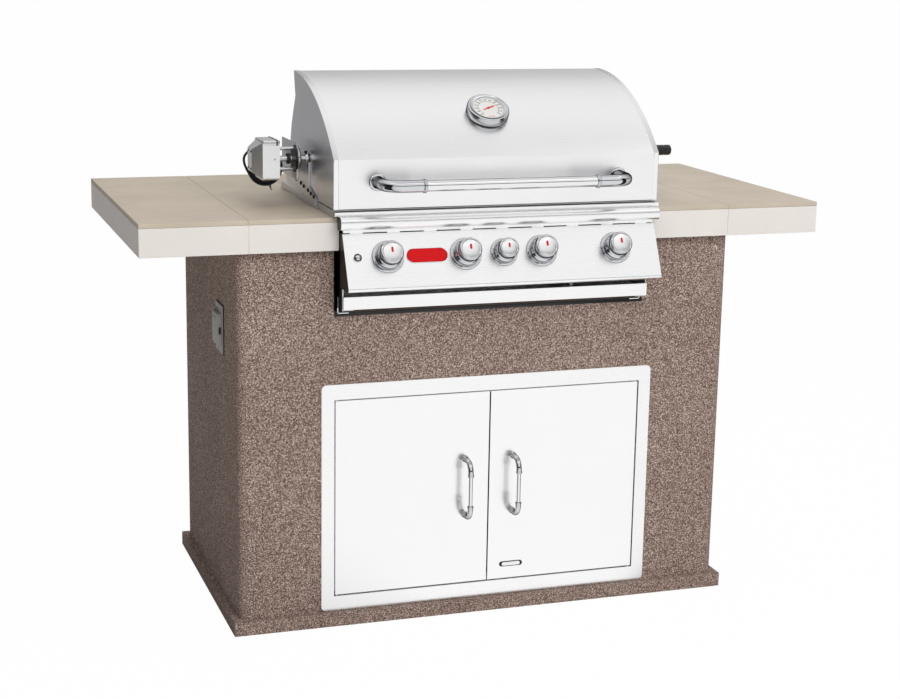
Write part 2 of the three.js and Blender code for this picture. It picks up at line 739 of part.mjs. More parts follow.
// Outlet: a plate with its box in the left wall and a lid that turns on the plate's rear edge
function buildOutlet() {
  const wallFace = -baseHalf;
  const plateX = [wallFace - FIT - PLATE_THICK, wallFace - FIT];
  const lidY = [OUTLET_FROM_FRONT - LID_WIDTH / 2, OUTLET_FROM_FRONT + LID_WIDTH / 2];
  const lidZ = band(outletHeight, LID_HEIGHT);
  const lidX = [plateX[0] - FIT - LID_THICK, plateX[0] - FIT];
  const hingeY = lidY[1] + KNUCKLE_RADIUS / 2;
  const hingeX = plateX[0] - FIT - KNUCKLE_RADIUS;
  const lug = (z) =>
    cut(
      box([hingeX - KNUCKLE_RADIUS, plateX[1]], band(hingeY, 2 * KNUCKLE_RADIUS), z),
      rodZ(
        [z[0] - OVERRUN, z[1] + OVERRUN],
        hingeX,
        hingeY,
        KNUCKLE_PIN_RADIUS + FIT,
        SMALL_ROUND,
      ),
    );
  const plate = join(
    box(plateX, band(OUTLET_FROM_FRONT, PLATE_WIDTH), band(outletHeight, PLATE_HEIGHT)),
    box([plateX[0] + PLATE_THICK / 2, wallFace + POCKET_DEPTH], pocketY, pocketZ),
    lug([lidZ[1] + FIT, lidZ[1] + FIT + LUG_HEIGHT]),
    lug([lidZ[0] - FIT - LUG_HEIGHT, lidZ[0] - FIT]),
  );
  add("outlet_plate", plate, GREY_PLASTIC);

  const lid = join(
    cut(
      box(lidX, lidY, lidZ),
      box(
        [lidX[0] + LID_WALL, lidX[1] + OVERRUN],
        [lidY[0] + LID_WALL, lidY[1] - LID_WALL],
        [lidZ[0] + LID_WALL, lidZ[1] - LID_WALL],
      ),
    ),
    rodZ(lidZ, hingeX, hingeY, KNUCKLE_RADIUS, SMALL_ROUND),
    rodZ(
      [lidZ[0] - FIT - KNUCKLE_PIN, lidZ[1] + FIT + KNUCKLE_PIN],
      hingeX,
      hingeY,
      KNUCKLE_PIN_RADIUS,
      SMALL_ROUND,
    ),
  );
  add("outlet_cover", lid, GREY_PLASTIC);
}

// Knob places on the panel: a number from the middle and a size share
const knobs = [
  ["knob_far_left", -1.5, 1],
  ["knob_left", -0.5, 1],
  ["knob_middle", 0, SMALL_KNOB_SHARE],
  ["knob_right", 0.5, 1],
  ["knob_far_right", 1.5, 1],
].map(([name, steps, share]) => [name, steps * KNOB_STEP - KNOB_SHIFT, share]);
const burnerPlaces = [-1.5, -0.5, 0.5, 1.5].map((share) => share * KNOB_STEP);
const knobPoint = panelFoot
  .clone()
  .addScaledVector(new THREE.Vector2().subVectors(panelTop, panelFoot), KNOB_HEIGHT_SHARE);
const panelNormal = at(0, panelOut.x, panelOut.y);
const onPanel = (x, out) => at(x, knobPoint.x, knobPoint.y).addScaledVector(panelNormal, out);
const pipe = knobPoint.clone().addScaledVector(panelOut, -VALVE_DEPTH);

// Grill body: control box sides, firebox, high back panel, rim and hinge pins in one folded shell
function buildGrillBody() {
  const inner = bodyHalf - SHEET;
  const bodyTop = rimTop - SHEET;
  const controlTop = counterTop - LEDGE / 2;
  const cheekTop = counterTop + CHEEK_RISE;
  const bury = SHEET / 2; // how far a sheet's edge runs into the sheet it meets
  const wide = across(inner + bury);
  const deep = [FIREBOX_FRONT + bury, fireboxBack - bury];
  const rim = cut(
    box(across(rimHalf), [-RIM_FRONT, RIM_BACK], [rimFoot, rimTop]),
    box(
      across(rimHalf - SHEET),
      [-RIM_FRONT - OVERRUN, RIM_BACK - SHEET],
      [rimFoot - OVERRUN, bodyTop],
    ),
    box(wide, deep, [rimFoot, rimTop + OVERRUN]),
  );
  const grateZ = [counterTop - GRATE_DROP - SHEET, counterTop - GRATE_DROP];
  const burnerZ = [pipe.y - BURNER_HEIGHT / 2 - FIT - SHEET, pipe.y - BURNER_HEIGHT / 2 - FIT];
  const innerBack = fireboxBack - SHEET;
  const pieces = [
    rim,
    box(wide, deep, [fireboxFloor, fireboxFloor + SHEET]),
    box(wide, [FIREBOX_FRONT, FIREBOX_FRONT + SHEET], [fireboxFloor - bury, bodyTop + bury]),
    box(wide, [innerBack, fireboxBack], [bodyFoot + bury, counterTop + BACK_PANEL_RISE]),
    box(wide, [deep[0], FIREBOX_FRONT + SHEET + LEDGE], grateZ),
    box(wide, [innerBack - LEDGE, deep[1]], grateZ),
    box(wide, [innerBack - BURNER_BACK_GAP - LEDGE, deep[1]], burnerZ),
  ];
  const wallOutline = [
    new THREE.Vector2(-CONTROL_DEPTH, bodyFoot),
    new THREE.Vector2(fireboxBack - FIT, bodyFoot),
    new THREE.Vector2(fireboxBack - FIT, cheekTop),
    new THREE.Vector2(FIREBOX_FRONT + FIT, cheekTop),
    new THREE.Vector2(FIREBOX_FRONT + FIT, controlTop),
    new THREE.Vector2(-CONTROL_DEPTH, controlTop),
  ];
  for (const sign of [-1, 1]) {
    const strip = (low, high) => (sign > 0 ? [low, high] : [-high, -low]);
    pieces.push(
      alongX(wallOutline, strip(inner, bodyHalf)),
      box(
        strip(inner - TRAY_LEDGE, inner + bury),
        [FIT - CONTROL_DEPTH, deep[1]],
        [bodyFoot + FIT, bodyFoot + SHEET],
      ),
      rodX(strip(inner + FIT, bodyHalf - FIT), pivot, PIVOT_BOSS_RADIUS * 2),
      rodX(strip(inner + bury, rimHalf - SHEET - FIT), pivot, PIVOT_BOSS_RADIUS),
      rodX(strip(bodyHalf, rimHalf - FIT), pivot, PIVOT_RADIUS, SMALL_ROUND),
      box(
        band(sign * RACK_ARM_FROM_MIDDLE, RACK_ARM),
        [fireboxBack - RACK_DEPTH, deep[1]],
        [counterTop + RACK_RISE - FIT - SHEET, counterTop + RACK_RISE - FIT],
      ),
    );
  }
  const holes = burnerPlaces.map((x) =>
    rod(
      at(x, FIREBOX_FRONT - OVERRUN, pipe.y),
      at(x, FIREBOX_FRONT + SHEET + OVERRUN, pipe.y),
      BURNER_PIPE_RADIUS + FIT,
      SMALL_ROUND,
    ),
  );
  const drain = box(
    across(DRAIN_WIDTH / 2),
    band((FIREBOX_FRONT + fireboxBack) / 2, DRAIN_DEPTH),
    [fireboxFloor - OVERRUN, fireboxFloor + SHEET + OVERRUN],
  );
  add("grill_body", cut(join(...pieces), drain, ...holes), BRUSHED);
}

// Front rail: a narrow lip over a rolled nose, open at its back
function buildFrontRail() {
  const top = rimTop - SHEET - FIT;
  const lip = box(across(rimHalf), [-LIP_REACH, controlFront], [top - LIP_HEIGHT, top]);
  const noseTop = top - LIP_HEIGHT + FIT;
  const noseFoot = noseTop - NOSE_HEIGHT;
  const noseX = across(NOSE_WIDTH / 2);
  const outline = (inset) => {
    const back = inset ? OVERRUN : 0;
    const radius = NOSE_ROUND - inset;
    const front = -NOSE_REACH + inset + radius;
    return [
      new THREE.Vector2(controlFront + back, noseTop - inset),
      ...arc(new THREE.Vector2(front, noseTop - inset - radius), radius, 0.5 * Math.PI, Math.PI, 4),
      ...arc(new THREE.Vector2(front, noseFoot + inset + radius), radius, Math.PI, 1.5 * Math.PI, 4),
      new THREE.Vector2(controlFront + back, noseFoot + inset),
    ];
  };
  const nose = cut(
    alongX(outline(0), noseX),
    alongX(outline(SHEET), [noseX[0] + SHEET, noseX[1] - SHEET]),
  );
  add("front_rail", join(lip, nose), BRUSHED);
}

// Control panel: a leaning sheet with a rolled foot, closed at both ends
function buildControlPanel() {
  const half = PANEL_WIDTH / 2;
  const roundFoot = new THREE.Vector2(panelFoot.x + PANEL_ROLL, panelFoot.y - PANEL_ROLL / 2);
  const outer = [
    new THREE.Vector2(controlFront, panelTop.y),
    panelTop,
    ...arc(
      roundFoot,
      PANEL_ROLL,
      Math.atan2(panelOut.y, panelOut.x),
      1.5 * Math.PI,
      PANEL_ROLL_STEPS,
    ),
    new THREE.Vector2(controlFront, roundFoot.y - PANEL_ROLL),
  ];
  const sheet = alongX(sheetOutline(outer, SHEET), across(half));
  const ends = [-1, 1].map((sign) =>
    alongX(outer, sign > 0 ? [half - SHEET, half] : [-half, SHEET - half]),
  );
  const rings = [];
  const holes = [];
  const place = (x, ring, width, hole) => {
    rings.push(
      turned(
        [
          [ring - width, -SHEET / 2],
          [ring, -SHEET / 2],
          [ring - width / 3, BEZEL_HEIGHT],
          [ring - width, BEZEL_HEIGHT],
          [ring - width, -SHEET / 2],
        ],
        onPanel(x, 0),
        panelNormal,
      ),
    );
    holes.push(rod(onPanel(x, -SHEET_PAIR), onPanel(x, OVERRUN), hole, SMALL_ROUND));
  };
  knobs.forEach(([, x, share]) =>
    place(x, BEZEL_RADIUS * share, BEZEL_WIDTH * share, STEM_RADIUS + FIT),
  );
  const buttonHole = BUTTON_RADIUS + FIT;
  place(-BUTTON_FROM_MIDDLE, buttonHole + BUTTON_BEZEL, BUTTON_BEZEL, buttonHole);
  add("control_panel", cut(join(sheet, ...ends, ...rings), ...holes), BRUSHED);
}

// Knobs on their valve stems, the ignition button, and the gas pipe with its valves
function buildControls() {
  const stemFoot = -VALVE_DEPTH + VALVE_SIZE / 2;
  for (const [name, x, share] of knobs) {
    const radius = KNOB_RADIUS * share;
    const profile = [
      [0, 0],
      [radius, 0],
      [radius * 1.1, KNOB_DEPTH * 0.15],
      [radius * 0.9, KNOB_DEPTH * 0.3],
      [radius * 0.9, KNOB_DEPTH * 0.55],
      [radius, KNOB_DEPTH * 0.68],
      [radius, KNOB_DEPTH * 0.93],
      [radius * 0.94, KNOB_DEPTH],
      [0, KNOB_DEPTH],
    ];
    const knob = join(
      turned(profile, onPanel(x, KNOB_LIFT), panelNormal),
      rod(
        onPanel(x, stemFoot + FIT),
        onPanel(x, KNOB_LIFT + KNOB_DEPTH / 2),
        STEM_RADIUS,
        SMALL_ROUND,
      ),
    );
    add(name, knob, CHROME);
  }
  const button = join(
    turned(
      [
        [0, -SHEET_PAIR],
        [BUTTON_RADIUS, -SHEET_PAIR],
        [BUTTON_RADIUS, BUTTON_HEAD - BUTTON_TRAVEL / 3],
        [BUTTON_RADIUS * 0.85, BUTTON_HEAD],
        [0, BUTTON_HEAD],
      ],
      onPanel(-BUTTON_FROM_MIDDLE, 0),
      panelNormal,
      SMALL_ROUND,
    ),
  );
  add("ignition_button", button, CHROME);

  const axis = at(0, pipe.x, pipe.y);
  const pipeX = across(bodyHalf - SHEET - FIT);
  const valves = knobs.map(([, x]) => {
    const valve = new THREE.BoxGeometry(VALVE_SIZE, VALVE_SIZE, VALVE_SIZE);
    valve.applyQuaternion(new THREE.Quaternion().setFromUnitVectors(Y, panelNormal));
    valve.translate(x, axis.y, axis.z);
    return solid(valve);
  });
  const inlet = rodZ([pipe.y - INLET, pipe.y], bodyHalf / 2, pipe.x, PIPE_RADIUS * 0.8, SMALL_ROUND);
  const train = join(rodX(pipeX, pipe, PIPE_RADIUS, SMALL_ROUND), inlet, ...valves);
  add("gas_manifold", train, GALVANISED);
}

// Burners, grates and the warming rack inside the firebox
function buildFirebox() {
  const headBack = fireboxBack - SHEET - BURNER_BACK_GAP;
  const headFront = FIREBOX_FRONT + SHEET + VENTURI / 2;
  burnerPlaces.forEach((x, i) => {
    const head = alongZ(
      roundedRectangle(band(x, BURNER_WIDTH), [headFront, headBack], BURNER_WIDTH / 3, 3),
      band(pipe.y, BURNER_HEIGHT),
    );
    const venturi = rod(
      at(x, headFront - VENTURI + SHEET, pipe.y),
      at(x, headFront + BURNER_PIPE_RADIUS, pipe.y),
      BURNER_PIPE_RADIUS,
      SMALL_ROUND,
    );
    add(`burner_${i + 1}`, join(head, venturi), DARK_STEEL);
  });
  add(
    "rear_burner",
    box(
      across(REAR_BURNER_WIDTH / 2),
      [fireboxBack - SHEET - FIT - REAR_BURNER_DEPTH, fireboxBack - SHEET - FIT],
      [counterTop - REAR_BURNER_DROP, counterTop - REAR_BURNER_DROP + REAR_BURNER_HEIGHT],
    ),
    DARK_STEEL,
  );

  const grateY = [FIREBOX_FRONT + SHEET + FIT * 2, fireboxBack - SHEET - FIT * 2];
  const grateZ = [counterTop - GRATE_DROP + FIT, counterTop - GRATE_DROP + FIT + GRATE_BAR];
  const grateSpan = bodyHalf - SHEET - GRATE_SIDE_GAP;
  const step = (grateSpan - GRATE_SIDE_GAP - GRATE_BAR) / (GRATE_BARS - 1);
  const bars = Array.from({ length: GRATE_BARS }, (_, i) => {
    const middle = GRATE_SIDE_GAP + GRATE_BAR / 2 + i * step;
    return box(band(middle, GRATE_BAR), grateY, grateZ);
  });
  const tieZ = band((grateZ[0] + grateZ[1]) / 2, GRATE_TIE);
  const ties = [grateY[0] + 2 * GRATE_BAR, grateY[1] - 2 * GRATE_BAR].map(
    (y) => box([GRATE_SIDE_GAP + FIT, grateSpan - FIT], band(y, GRATE_TIE), tieZ),
  );
  const grate = join(...bars, ...ties);
  add("cooking_grate_right", grate, BRUSHED);
  add("cooking_grate_left", grate.mirror([1, 0, 0]), BRUSHED);

  const rackBack = fireboxBack - SHEET - RACK_ARM_BACK_GAP;
  const rackFront = rackBack - RACK_DEPTH;
  const rackZ = [counterTop + RACK_RISE, counterTop + RACK_RISE + RACK_BAR];
  const rackStep = (RACK_DEPTH - RACK_BAR) / (RACK_BARS - 1);
  const runs = Array.from({ length: RACK_BARS }, (_, i) =>
    box(across(RACK_WIDTH / 2), band(rackFront + RACK_BAR / 2 + i * rackStep, RACK_BAR), rackZ),
  );
  const rackTieZ = band((rackZ[0] + rackZ[1]) / 2, RACK_TIE);
  const crossings = [-1, 0, 1].map((share) =>
    box(band(share * RACK_ARM_FROM_MIDDLE, RACK_BAR), [rackFront + FIT, rackBack - FIT], rackTieZ),
  );
  add("warming_rack", join(...runs, ...crossings), BRUSHED);
}

// Grease tray: a shallow pan with an upright front that slides forward on the body's ledges
function buildTray() {
  const half = bodyHalf - SHEET - TRAY_SIDE_GAP;
  const front = -CONTROL_DEPTH - FIT * 3;
  const foot = bodyFoot + SHEET + FIT;
  const pan = cut(
    box(across(half), [front, front + TRAY_DEPTH], [foot, foot + TRAY_HEIGHT]),
    box(
      across(half - TRAY_SHEET),
      [front + TRAY_SHEET, front + TRAY_DEPTH - TRAY_SHEET],
      [foot + TRAY_SHEET, foot + TRAY_HEIGHT + OVERRUN],
    ),
  );
  const face = box(
    across(TRAY_FACE_WIDTH / 2),
    [front - TRAY_FACE_THICK, front + FIT],
    [foot, foot + TRAY_FACE_HEIGHT],
  );
  add("grease_tray", join(pan, face), BRUSHED);
}

// Hood: front and rolled top in one skin between two side panels that turn on the body's pins
function buildHood() {
  const front = -HOOD_FRONT;
  const height = roll.y + HOOD_RADIUS - hoodFoot;
  const backEdge = HOOD_BACK_EDGE_SHARES.map(
    ([deep, high]) =>
      new THREE.Vector2(front + deep * HOOD_DEPTH, hoodFoot + high * height),
  );
  const rollPoints = (radius, from, to) =>
    arc(
      roll,
      radius,
      Math.PI - Math.acos((roll.x - from) / radius),
      Math.PI - Math.acos((roll.x - to) / radius),
      HOOD_ARC_STEPS,
    );
  const side = [
    new THREE.Vector2(front, hoodFoot),
    ...rollPoints(HOOD_RADIUS, front, hoodBack),
    ...backEdge,
    ...arc(pivot, EAR_RADIUS, Math.PI / 3, -Math.PI / 2, 8),
  ];
  const lipInner = backEdge
    .slice(0, 2)
    .map((point) => new THREE.Vector2(point.x - HOOD_SKIN, point.y));
  const clear = RIM_BACK + OVERRUN;
  const hollow = [
    new THREE.Vector2(front + HOOD_SKIN, hoodFoot - OVERRUN),
    ...rollPoints(HOOD_RADIUS - HOOD_SKIN, front + HOOD_SKIN, hoodBack - HOOD_SKIN),
    ...lipInner,
    new THREE.Vector2(clear, lipInner[1].y),
    new THREE.Vector2(clear, hoodFoot - OVERRUN),
  ];
  const whole = [-rimHalf - OVERRUN, rimHalf + OVERRUN];
  const slot = join(
    box(whole, band(spit.x, SPIT_SLOT), [hoodFoot - OVERRUN, spit.y]),
    rodX(whole, spit, SPIT_SLOT / 2, SMALL_ROUND),
  );
  const dialHole = rod(dialFoot(-HOOD_SKIN * 2), dialFoot(OVERRUN), DIAL_STEM_RADIUS + FIT, SMALL_ROUND);
  const hood = cut(
    alongX(side, across(rimHalf)),
    alongX(hollow, across(rimHalf - SHEET)),
    slot,
    rodX(whole, pivot, PIVOT_RADIUS + FIT, SMALL_ROUND),
    dialHole,
  );
  add("hood", hood, BRUSHED);

  const barY = front - FIT - HANDLE_REACH;
  const barZ = hoodFoot + HANDLE_RISE;
  const bar = new THREE.Vector2(barY, barZ);
  for (const [side, sign] of [["left", -1], ["right", 1]]) {
    const leg = sign * HANDLE_HALF;
    const end = at(sign * (BAR_HALF + FIT), barY, barZ);
    const path = bentPath([at(leg, front - FIT, barZ), at(leg, barY, barZ), end], HANDLE_BEND);
    const collarEnd = at(sign * (BAR_HALF + FIT + ELBOW_COLLAR), barY, barZ);
    const elbow = join(
      rod(at(leg, front - FIT, barZ), at(leg, front - FIT - ELBOW_BASE, barZ), ELBOW_BASE_RADIUS),
      tube(path, ELBOW_RADIUS, 16),
      rod(end, collarEnd, ELBOW_COLLAR_RADIUS),
    );
    add(`hood_elbow_${side}`, elbow, CHROME);
  }
  add("hood_bar", rodX(across(BAR_HALF), bar, BAR_RADIUS), BRUSHED);
}

// A point on the thermometer's axis, measured outwards from the hood's skin.
const dialLean = new THREE.Vector2(-DIAL_LEAN_SHARE, Math.sqrt(1 - DIAL_LEAN_SHARE ** 2));
function dialFoot(out) {
  const point = roll.clone().addScaledVector(dialLean, HOOD_RADIUS + out);
  return at(0, point.x, point.y);
}

// Thermometer: a dial in a deep round ring, with its stem through the hood's skin
function buildThermometer() {
  const lift = DIAL_RADIUS ** 2 / (2 * HOOD_RADIUS);
  const axis = at(0, dialLean.x, dialLean.y);
  const dial = turned(
    [
      [0, -DIAL_STEM],
      [DIAL_STEM_RADIUS, -DIAL_STEM],
      [DIAL_STEM_RADIUS, FIT],
      [DIAL_RADIUS - DIAL_RING, FIT],
      [DIAL_RADIUS, FIT + lift / 2],
      [DIAL_RADIUS, DIAL_DEPTH - DIAL_RING / 2],
      [DIAL_RADIUS - DIAL_RING / 2, DIAL_DEPTH],
      [DIAL_RADIUS - DIAL_RING, DIAL_DEPTH],
      [DIAL_RADIUS - DIAL_RING, DIAL_DEPTH - DIAL_RECESS],
      [0, DIAL_DEPTH - DIAL_RECESS],
    ],
    dialFoot(0),
    axis,
  );
  add("thermometer", dial, CHROME);
}

// Spit: rod, set collar beside the left plate, grip and two forks
function buildSpit() {
  const plateOut = rimHalf + BRACKET_STANDOFF + SHEET;
  add(
    "spit_rod",
    rodX([-SPIT_LEFT, SPIT_RIGHT + GRIP_BITE], spit, SPIT_RADIUS, SMALL_ROUND),
    BRUSHED,
  );

  const bore = SPIT_RADIUS + FIT;
  const collarX = [-plateOut - FIT - COLLAR_WIDTH, -plateOut - FIT];
  const through = [collarX[0] - OVERRUN, collarX[1] + OVERRUN];
  const collar = cut(
    rodX(collarX, spit, COLLAR_RADIUS, SMALL_ROUND),
    rodX(through, spit, bore, SMALL_ROUND),
  );
  add("spit_collar", collar, BRUSHED);

  const grip = turned(
    [
      [bore, 0],
      [GRIP_NECK_RADIUS, 0],
      [GRIP_RADIUS, GRIP_LENGTH * 0.35],
      [GRIP_RADIUS, GRIP_LENGTH * 0.85],
      [GRIP_RADIUS * 0.8, GRIP_LENGTH],
      [0, GRIP_LENGTH],
      [0, GRIP_BITE + FIT],
      [bore, GRIP_BITE + FIT],
      [bore, 0],
    ],
    at(SPIT_RIGHT, spit.x, spit.y),
    X,
    SMALL_ROUND,
  );
  add("spit_grip", grip, BLACK_PLASTIC);

  for (const [side, sign] of [["left", -1], ["right", 1]]) {
    const from = sign * FORK_FROM_MIDDLE;
    const to = from + sign * FORK_HUB;
    const hubX = [Math.min(from, to), Math.max(from, to)];
    const hub = rodX(hubX, spit, FORK_HUB_RADIUS, SMALL_ROUND);
    const webX = sign > 0 ? [from, from + FORK_BAR] : [from - FORK_BAR, from];
    const web = box(webX, band(spit.x, FORK_REACH * 2), band(spit.y, FORK_BAR));
    const upright = box(webX, band(spit.x, FORK_BAR), band(spit.y, FORK_REACH * 2));
    const tineX = sign > 0 ? [from - FORK_TINE, from + FORK_BAR / 2] : [from - FORK_BAR / 2, from + FORK_TINE];
    const reach = FORK_REACH - FORK_BAR / 2;
    const tines = [[-reach, 0], [reach, 0], [0, -reach], [0, reach]].map(([y, z]) =>
      box(tineX, band(spit.x + y, FORK_BAR), band(spit.y + z, FORK_BAR)),
    );
    const axle = rodX([-SPIT_LEFT, SPIT_RIGHT], spit, bore, SMALL_ROUND);
    add(`spit_fork_${side}`, cut(join(hub, web, upright, ...tines), axle), BRUSHED);
  }
}

// Plates outside the rim that carry the spit's two ends, and the motor's own plate
function buildBrackets() {
  const inside = rimHalf + BRACKET_STANDOFF;
  const outside = inside + SHEET;
  const foot = counterTop + FIT;
  const screwZ = (rimFoot + rimTop) / 2;
  const screw = (sign, y) =>
    rod(
      at(sign * (inside + SHEET / 2), y, screwZ),
      at(sign * (outside + SHEET / 2), y, screwZ),
      BRACKET_SCREW_RADIUS,
      SMALL_ROUND,
    );
  const right = box(
    [inside, outside],
    band(spit.x, BRACKET_WIDTH),
    [foot, spit.y + BRACKET_TOP_GAP],
  );
  const gate = SPIT_RADIUS + FIT;
  const notch = join(
    box([inside - OVERRUN, outside + OVERRUN], across(gate), [0, BRACKET_TOP_GAP + OVERRUN]).translate(
      [0, spit.x, spit.y],
    ),
    rodX([inside - OVERRUN, outside + OVERRUN], spit, gate, SMALL_ROUND),
  );
  const quarter = BRACKET_WIDTH / 4; // from a plate's edge to its screw
  add(
    "spit_bracket",
    join(cut(right, notch), screw(1, spit.x - quarter), screw(1, spit.x + quarter)),
    BRUSHED,
  );

  const plateTop = spit.y - SPIT_RADIUS - PLATE_TOP_DROP;
  const footTop = foot + PLATE_FOOT_HEIGHT;
  const plate = alongX(
    [
      new THREE.Vector2(PLATE_FOOT_FRONT, foot),
      new THREE.Vector2(PLATE_BACK, foot),
      new THREE.Vector2(PLATE_BACK, plateTop),
      new THREE.Vector2(PLATE_FRONT, plateTop),
      new THREE.Vector2(PLATE_FRONT, footTop),
      new THREE.Vector2(PLATE_FOOT_FRONT, footTop - PLATE_FOOT_HEIGHT / 2),
    ],
    [-outside, -inside],
  );
  const motorIn = outside + MOTOR_PLATE_GAP;
  const motorOut = motorIn + SHEET;
  const motorZ = [spit.y - MOTOR_PLATE_DROP, spit.y + MOTOR_PLATE_RISE];
  const motorPlate = box([-motorOut, -motorIn], [PLATE_FRONT, MOTOR_PLATE_BACK], motorZ);
  const web = box([-motorOut, -inside], [PLATE_BACK - SHEET, PLATE_BACK], [motorZ[0], plateTop]);
  const disc = rodX([-motorOut, -motorIn + SHEET], spit, DRIVE_DISC_RADIUS);
  const hole = rodX([-motorOut - OVERRUN, -motorIn + SHEET_PAIR], spit, SOCKET_RADIUS + FIT);
  add(
    "motor_bracket",
    join(
      cut(join(motorPlate, disc), hole),
      web,
      plate,
      screw(-1, PLATE_BACK - quarter),
      screw(-1, PLATE_FOOT_FRONT + quarter),
    ),
    BRUSHED,
  );
  return motorOut;
}

// Spit motor: a housing with a bevelled cap, three standoffs and the strain relief of its cord
function buildMotor(bracketOut) {
  const face = bracketOut + FIT + MOTOR_GAP;
  const bodyEnd = face + MOTOR_LENGTH;
  const housing = alongX(
    roundedRectangle(band(spit.x, MOTOR_WIDTH), band(spit.y, MOTOR_HEIGHT), MOTOR_EDGE, 2),
    [-bodyEnd, -face],
  );
  const ring = (width, height, x) =>
    [[-1, -1], [1, -1], [1, 1], [-1, 1]].map(([a, b]) => [
      x,
      spit.x + (a * width) / 2,
      spit.y + (b * height) / 2,
    ]);
  const trim = MOTOR_EDGE / 2;
  const corners = [
    ...ring(MOTOR_WIDTH - trim, MOTOR_HEIGHT - trim, trim - bodyEnd),
    ...ring(MOTOR_CAP_WIDTH, MOTOR_CAP_HEIGHT, -bodyEnd - MOTOR_CAP),
  ];
  const capMesh = new THREE.BufferGeometry();
  capMesh.setAttribute("position", new THREE.Float32BufferAttribute(corners.flat(), 3));
  capMesh.setIndex([
    0, 1, 2, 0, 2, 3, 4, 6, 5, 4, 7, 6, 0, 5, 1, 0, 4, 5, 1, 6, 2, 1, 5, 6, 2, 7, 3, 2, 6, 7, 3, 4,
    0, 3, 7, 4,
  ]);
  const standX = [-face - MOTOR_EDGE, -bracketOut - FIT];
  const standoffs = [-1, 1].map((sign) =>
    rodX(
      standX,
      new THREE.Vector2(spit.x, spit.y + sign * STANDOFF_RISE),
      STANDOFF_RADIUS,
      SMALL_ROUND,
    ),
  );
  const socket = rodX([-face - MOTOR_EDGE, -bracketOut + SHEET_PAIR], spit, SOCKET_RADIUS);
  const bore = rodX([-SPIT_LEFT - FIT, OVERRUN - bracketOut + SHEET_PAIR], spit, SPIT_RADIUS + FIT, SMALL_ROUND);
  const relief = rod(
    at(-GLAND_LEFT, motorBack - MOTOR_EDGE, glandHeight),
    at(-GLAND_LEFT, motorBack + RELIEF_LENGTH, glandHeight),
    RELIEF_RADIUS,
    SMALL_ROUND,
  );
  const motor = cut(join(housing, solid(capMesh), ...standoffs, socket, relief), bore);
  add("spit_motor", motor, GREY_PLASTIC);
}

// Motor cord: it leaves the strain relief, winds into a tied coil in two layers and ends in its plug
const motorBack = spit.x + MOTOR_WIDTH / 2;
const coilFront = motorBack + RELIEF_LENGTH + FIT + 2 * CORD_RADIUS + LEAD_BEND;
const coilHeight = counterTop + COIL_RISE;
const glandHeight = counterTop + GLAND_RISE;

// A point on the coil after the given turns: it spirals in, climbs a layer and spirals out.
function coilPoint(turns) {
  const middle = COIL_TURNS / 2;
  const radius = COIL_RADIUS - COIL_PITCH * (middle - Math.abs(turns - middle));
  const climb = THREE.MathUtils.smoothstep(turns, middle - 1 / 4, middle + 1 / 4);
  const angle = COIL_START + 2 * Math.PI * turns;
  return at(
    -COIL_LEFT + radius * Math.cos(angle),
    coilFront + COIL_PITCH * climb,
    coilHeight + radius * Math.sin(angle),
  );
}

function cordPath() {
  const start = coilPoint(0);
  const end = coilPoint(COIL_TURNS);
  const startRun = at(-Math.sin(COIL_START), 0, Math.cos(COIL_START));
  const endAngle = COIL_START + 2 * Math.PI * COIL_TURNS;
  const endRun = at(-Math.sin(endAngle), 0, Math.cos(endAngle));
  const lean = at(Math.cos(LEAD_LEAN), 0, Math.sin(LEAD_LEAN));
  const round = (4 / 3) * (Math.SQRT2 - 1) * LEAD_BEND; // control length of a quarter circle
  const gland = at(-GLAND_LEFT, coilFront - LEAD_BEND - 2 * CORD_RADIUS, glandHeight);
  const bendStart = gland.clone().addScaledVector(Y, 2 * CORD_RADIUS);
  const bendEnd = bendStart.clone().addScaledVector(Y, LEAD_BEND).addScaledVector(lean, LEAD_BEND);
  const leadIn = new THREE.CubicBezierCurve3(
    bendStart,
    bendStart.clone().addScaledVector(Y, round),
    bendEnd.clone().addScaledVector(lean, -round),
    bendEnd,
  );
  const bulge = new THREE.CubicBezierCurve3(
    bendEnd,
    bendEnd.clone().addScaledVector(lean, LEAD_BULGE),
    start.clone().addScaledVector(startRun, -LEAD_BULGE),
    start,
  );
  const tail = end.clone().addScaledVector(endRun, LEAD_BEND).addScaledVector(Y, LEAD_BEND);
  const leadOut = new THREE.CubicBezierCurve3(
    end,
    end.clone().addScaledVector(endRun, round),
    tail.clone().addScaledVector(Y, -round),
    tail,
  );
  const turnSteps = Math.round(COIL_TURNS * COIL_LOOP_STEPS);
  const wound = Array.from({ length: turnSteps + 1 }, (_, i) =>
    coilPoint((COIL_TURNS * i) / turnSteps),
  );
  const tip = tail.clone().addScaledVector(Y, 2 * CORD_RADIUS);
  const points = [
    gland,
    ...leadIn.getPoints(4),
    ...bulge.getPoints(6).slice(1),
    ...wound.slice(1),
    ...leadOut.getPoints(4).slice(1),
    tip,
  ];
  return { points, tip };
}

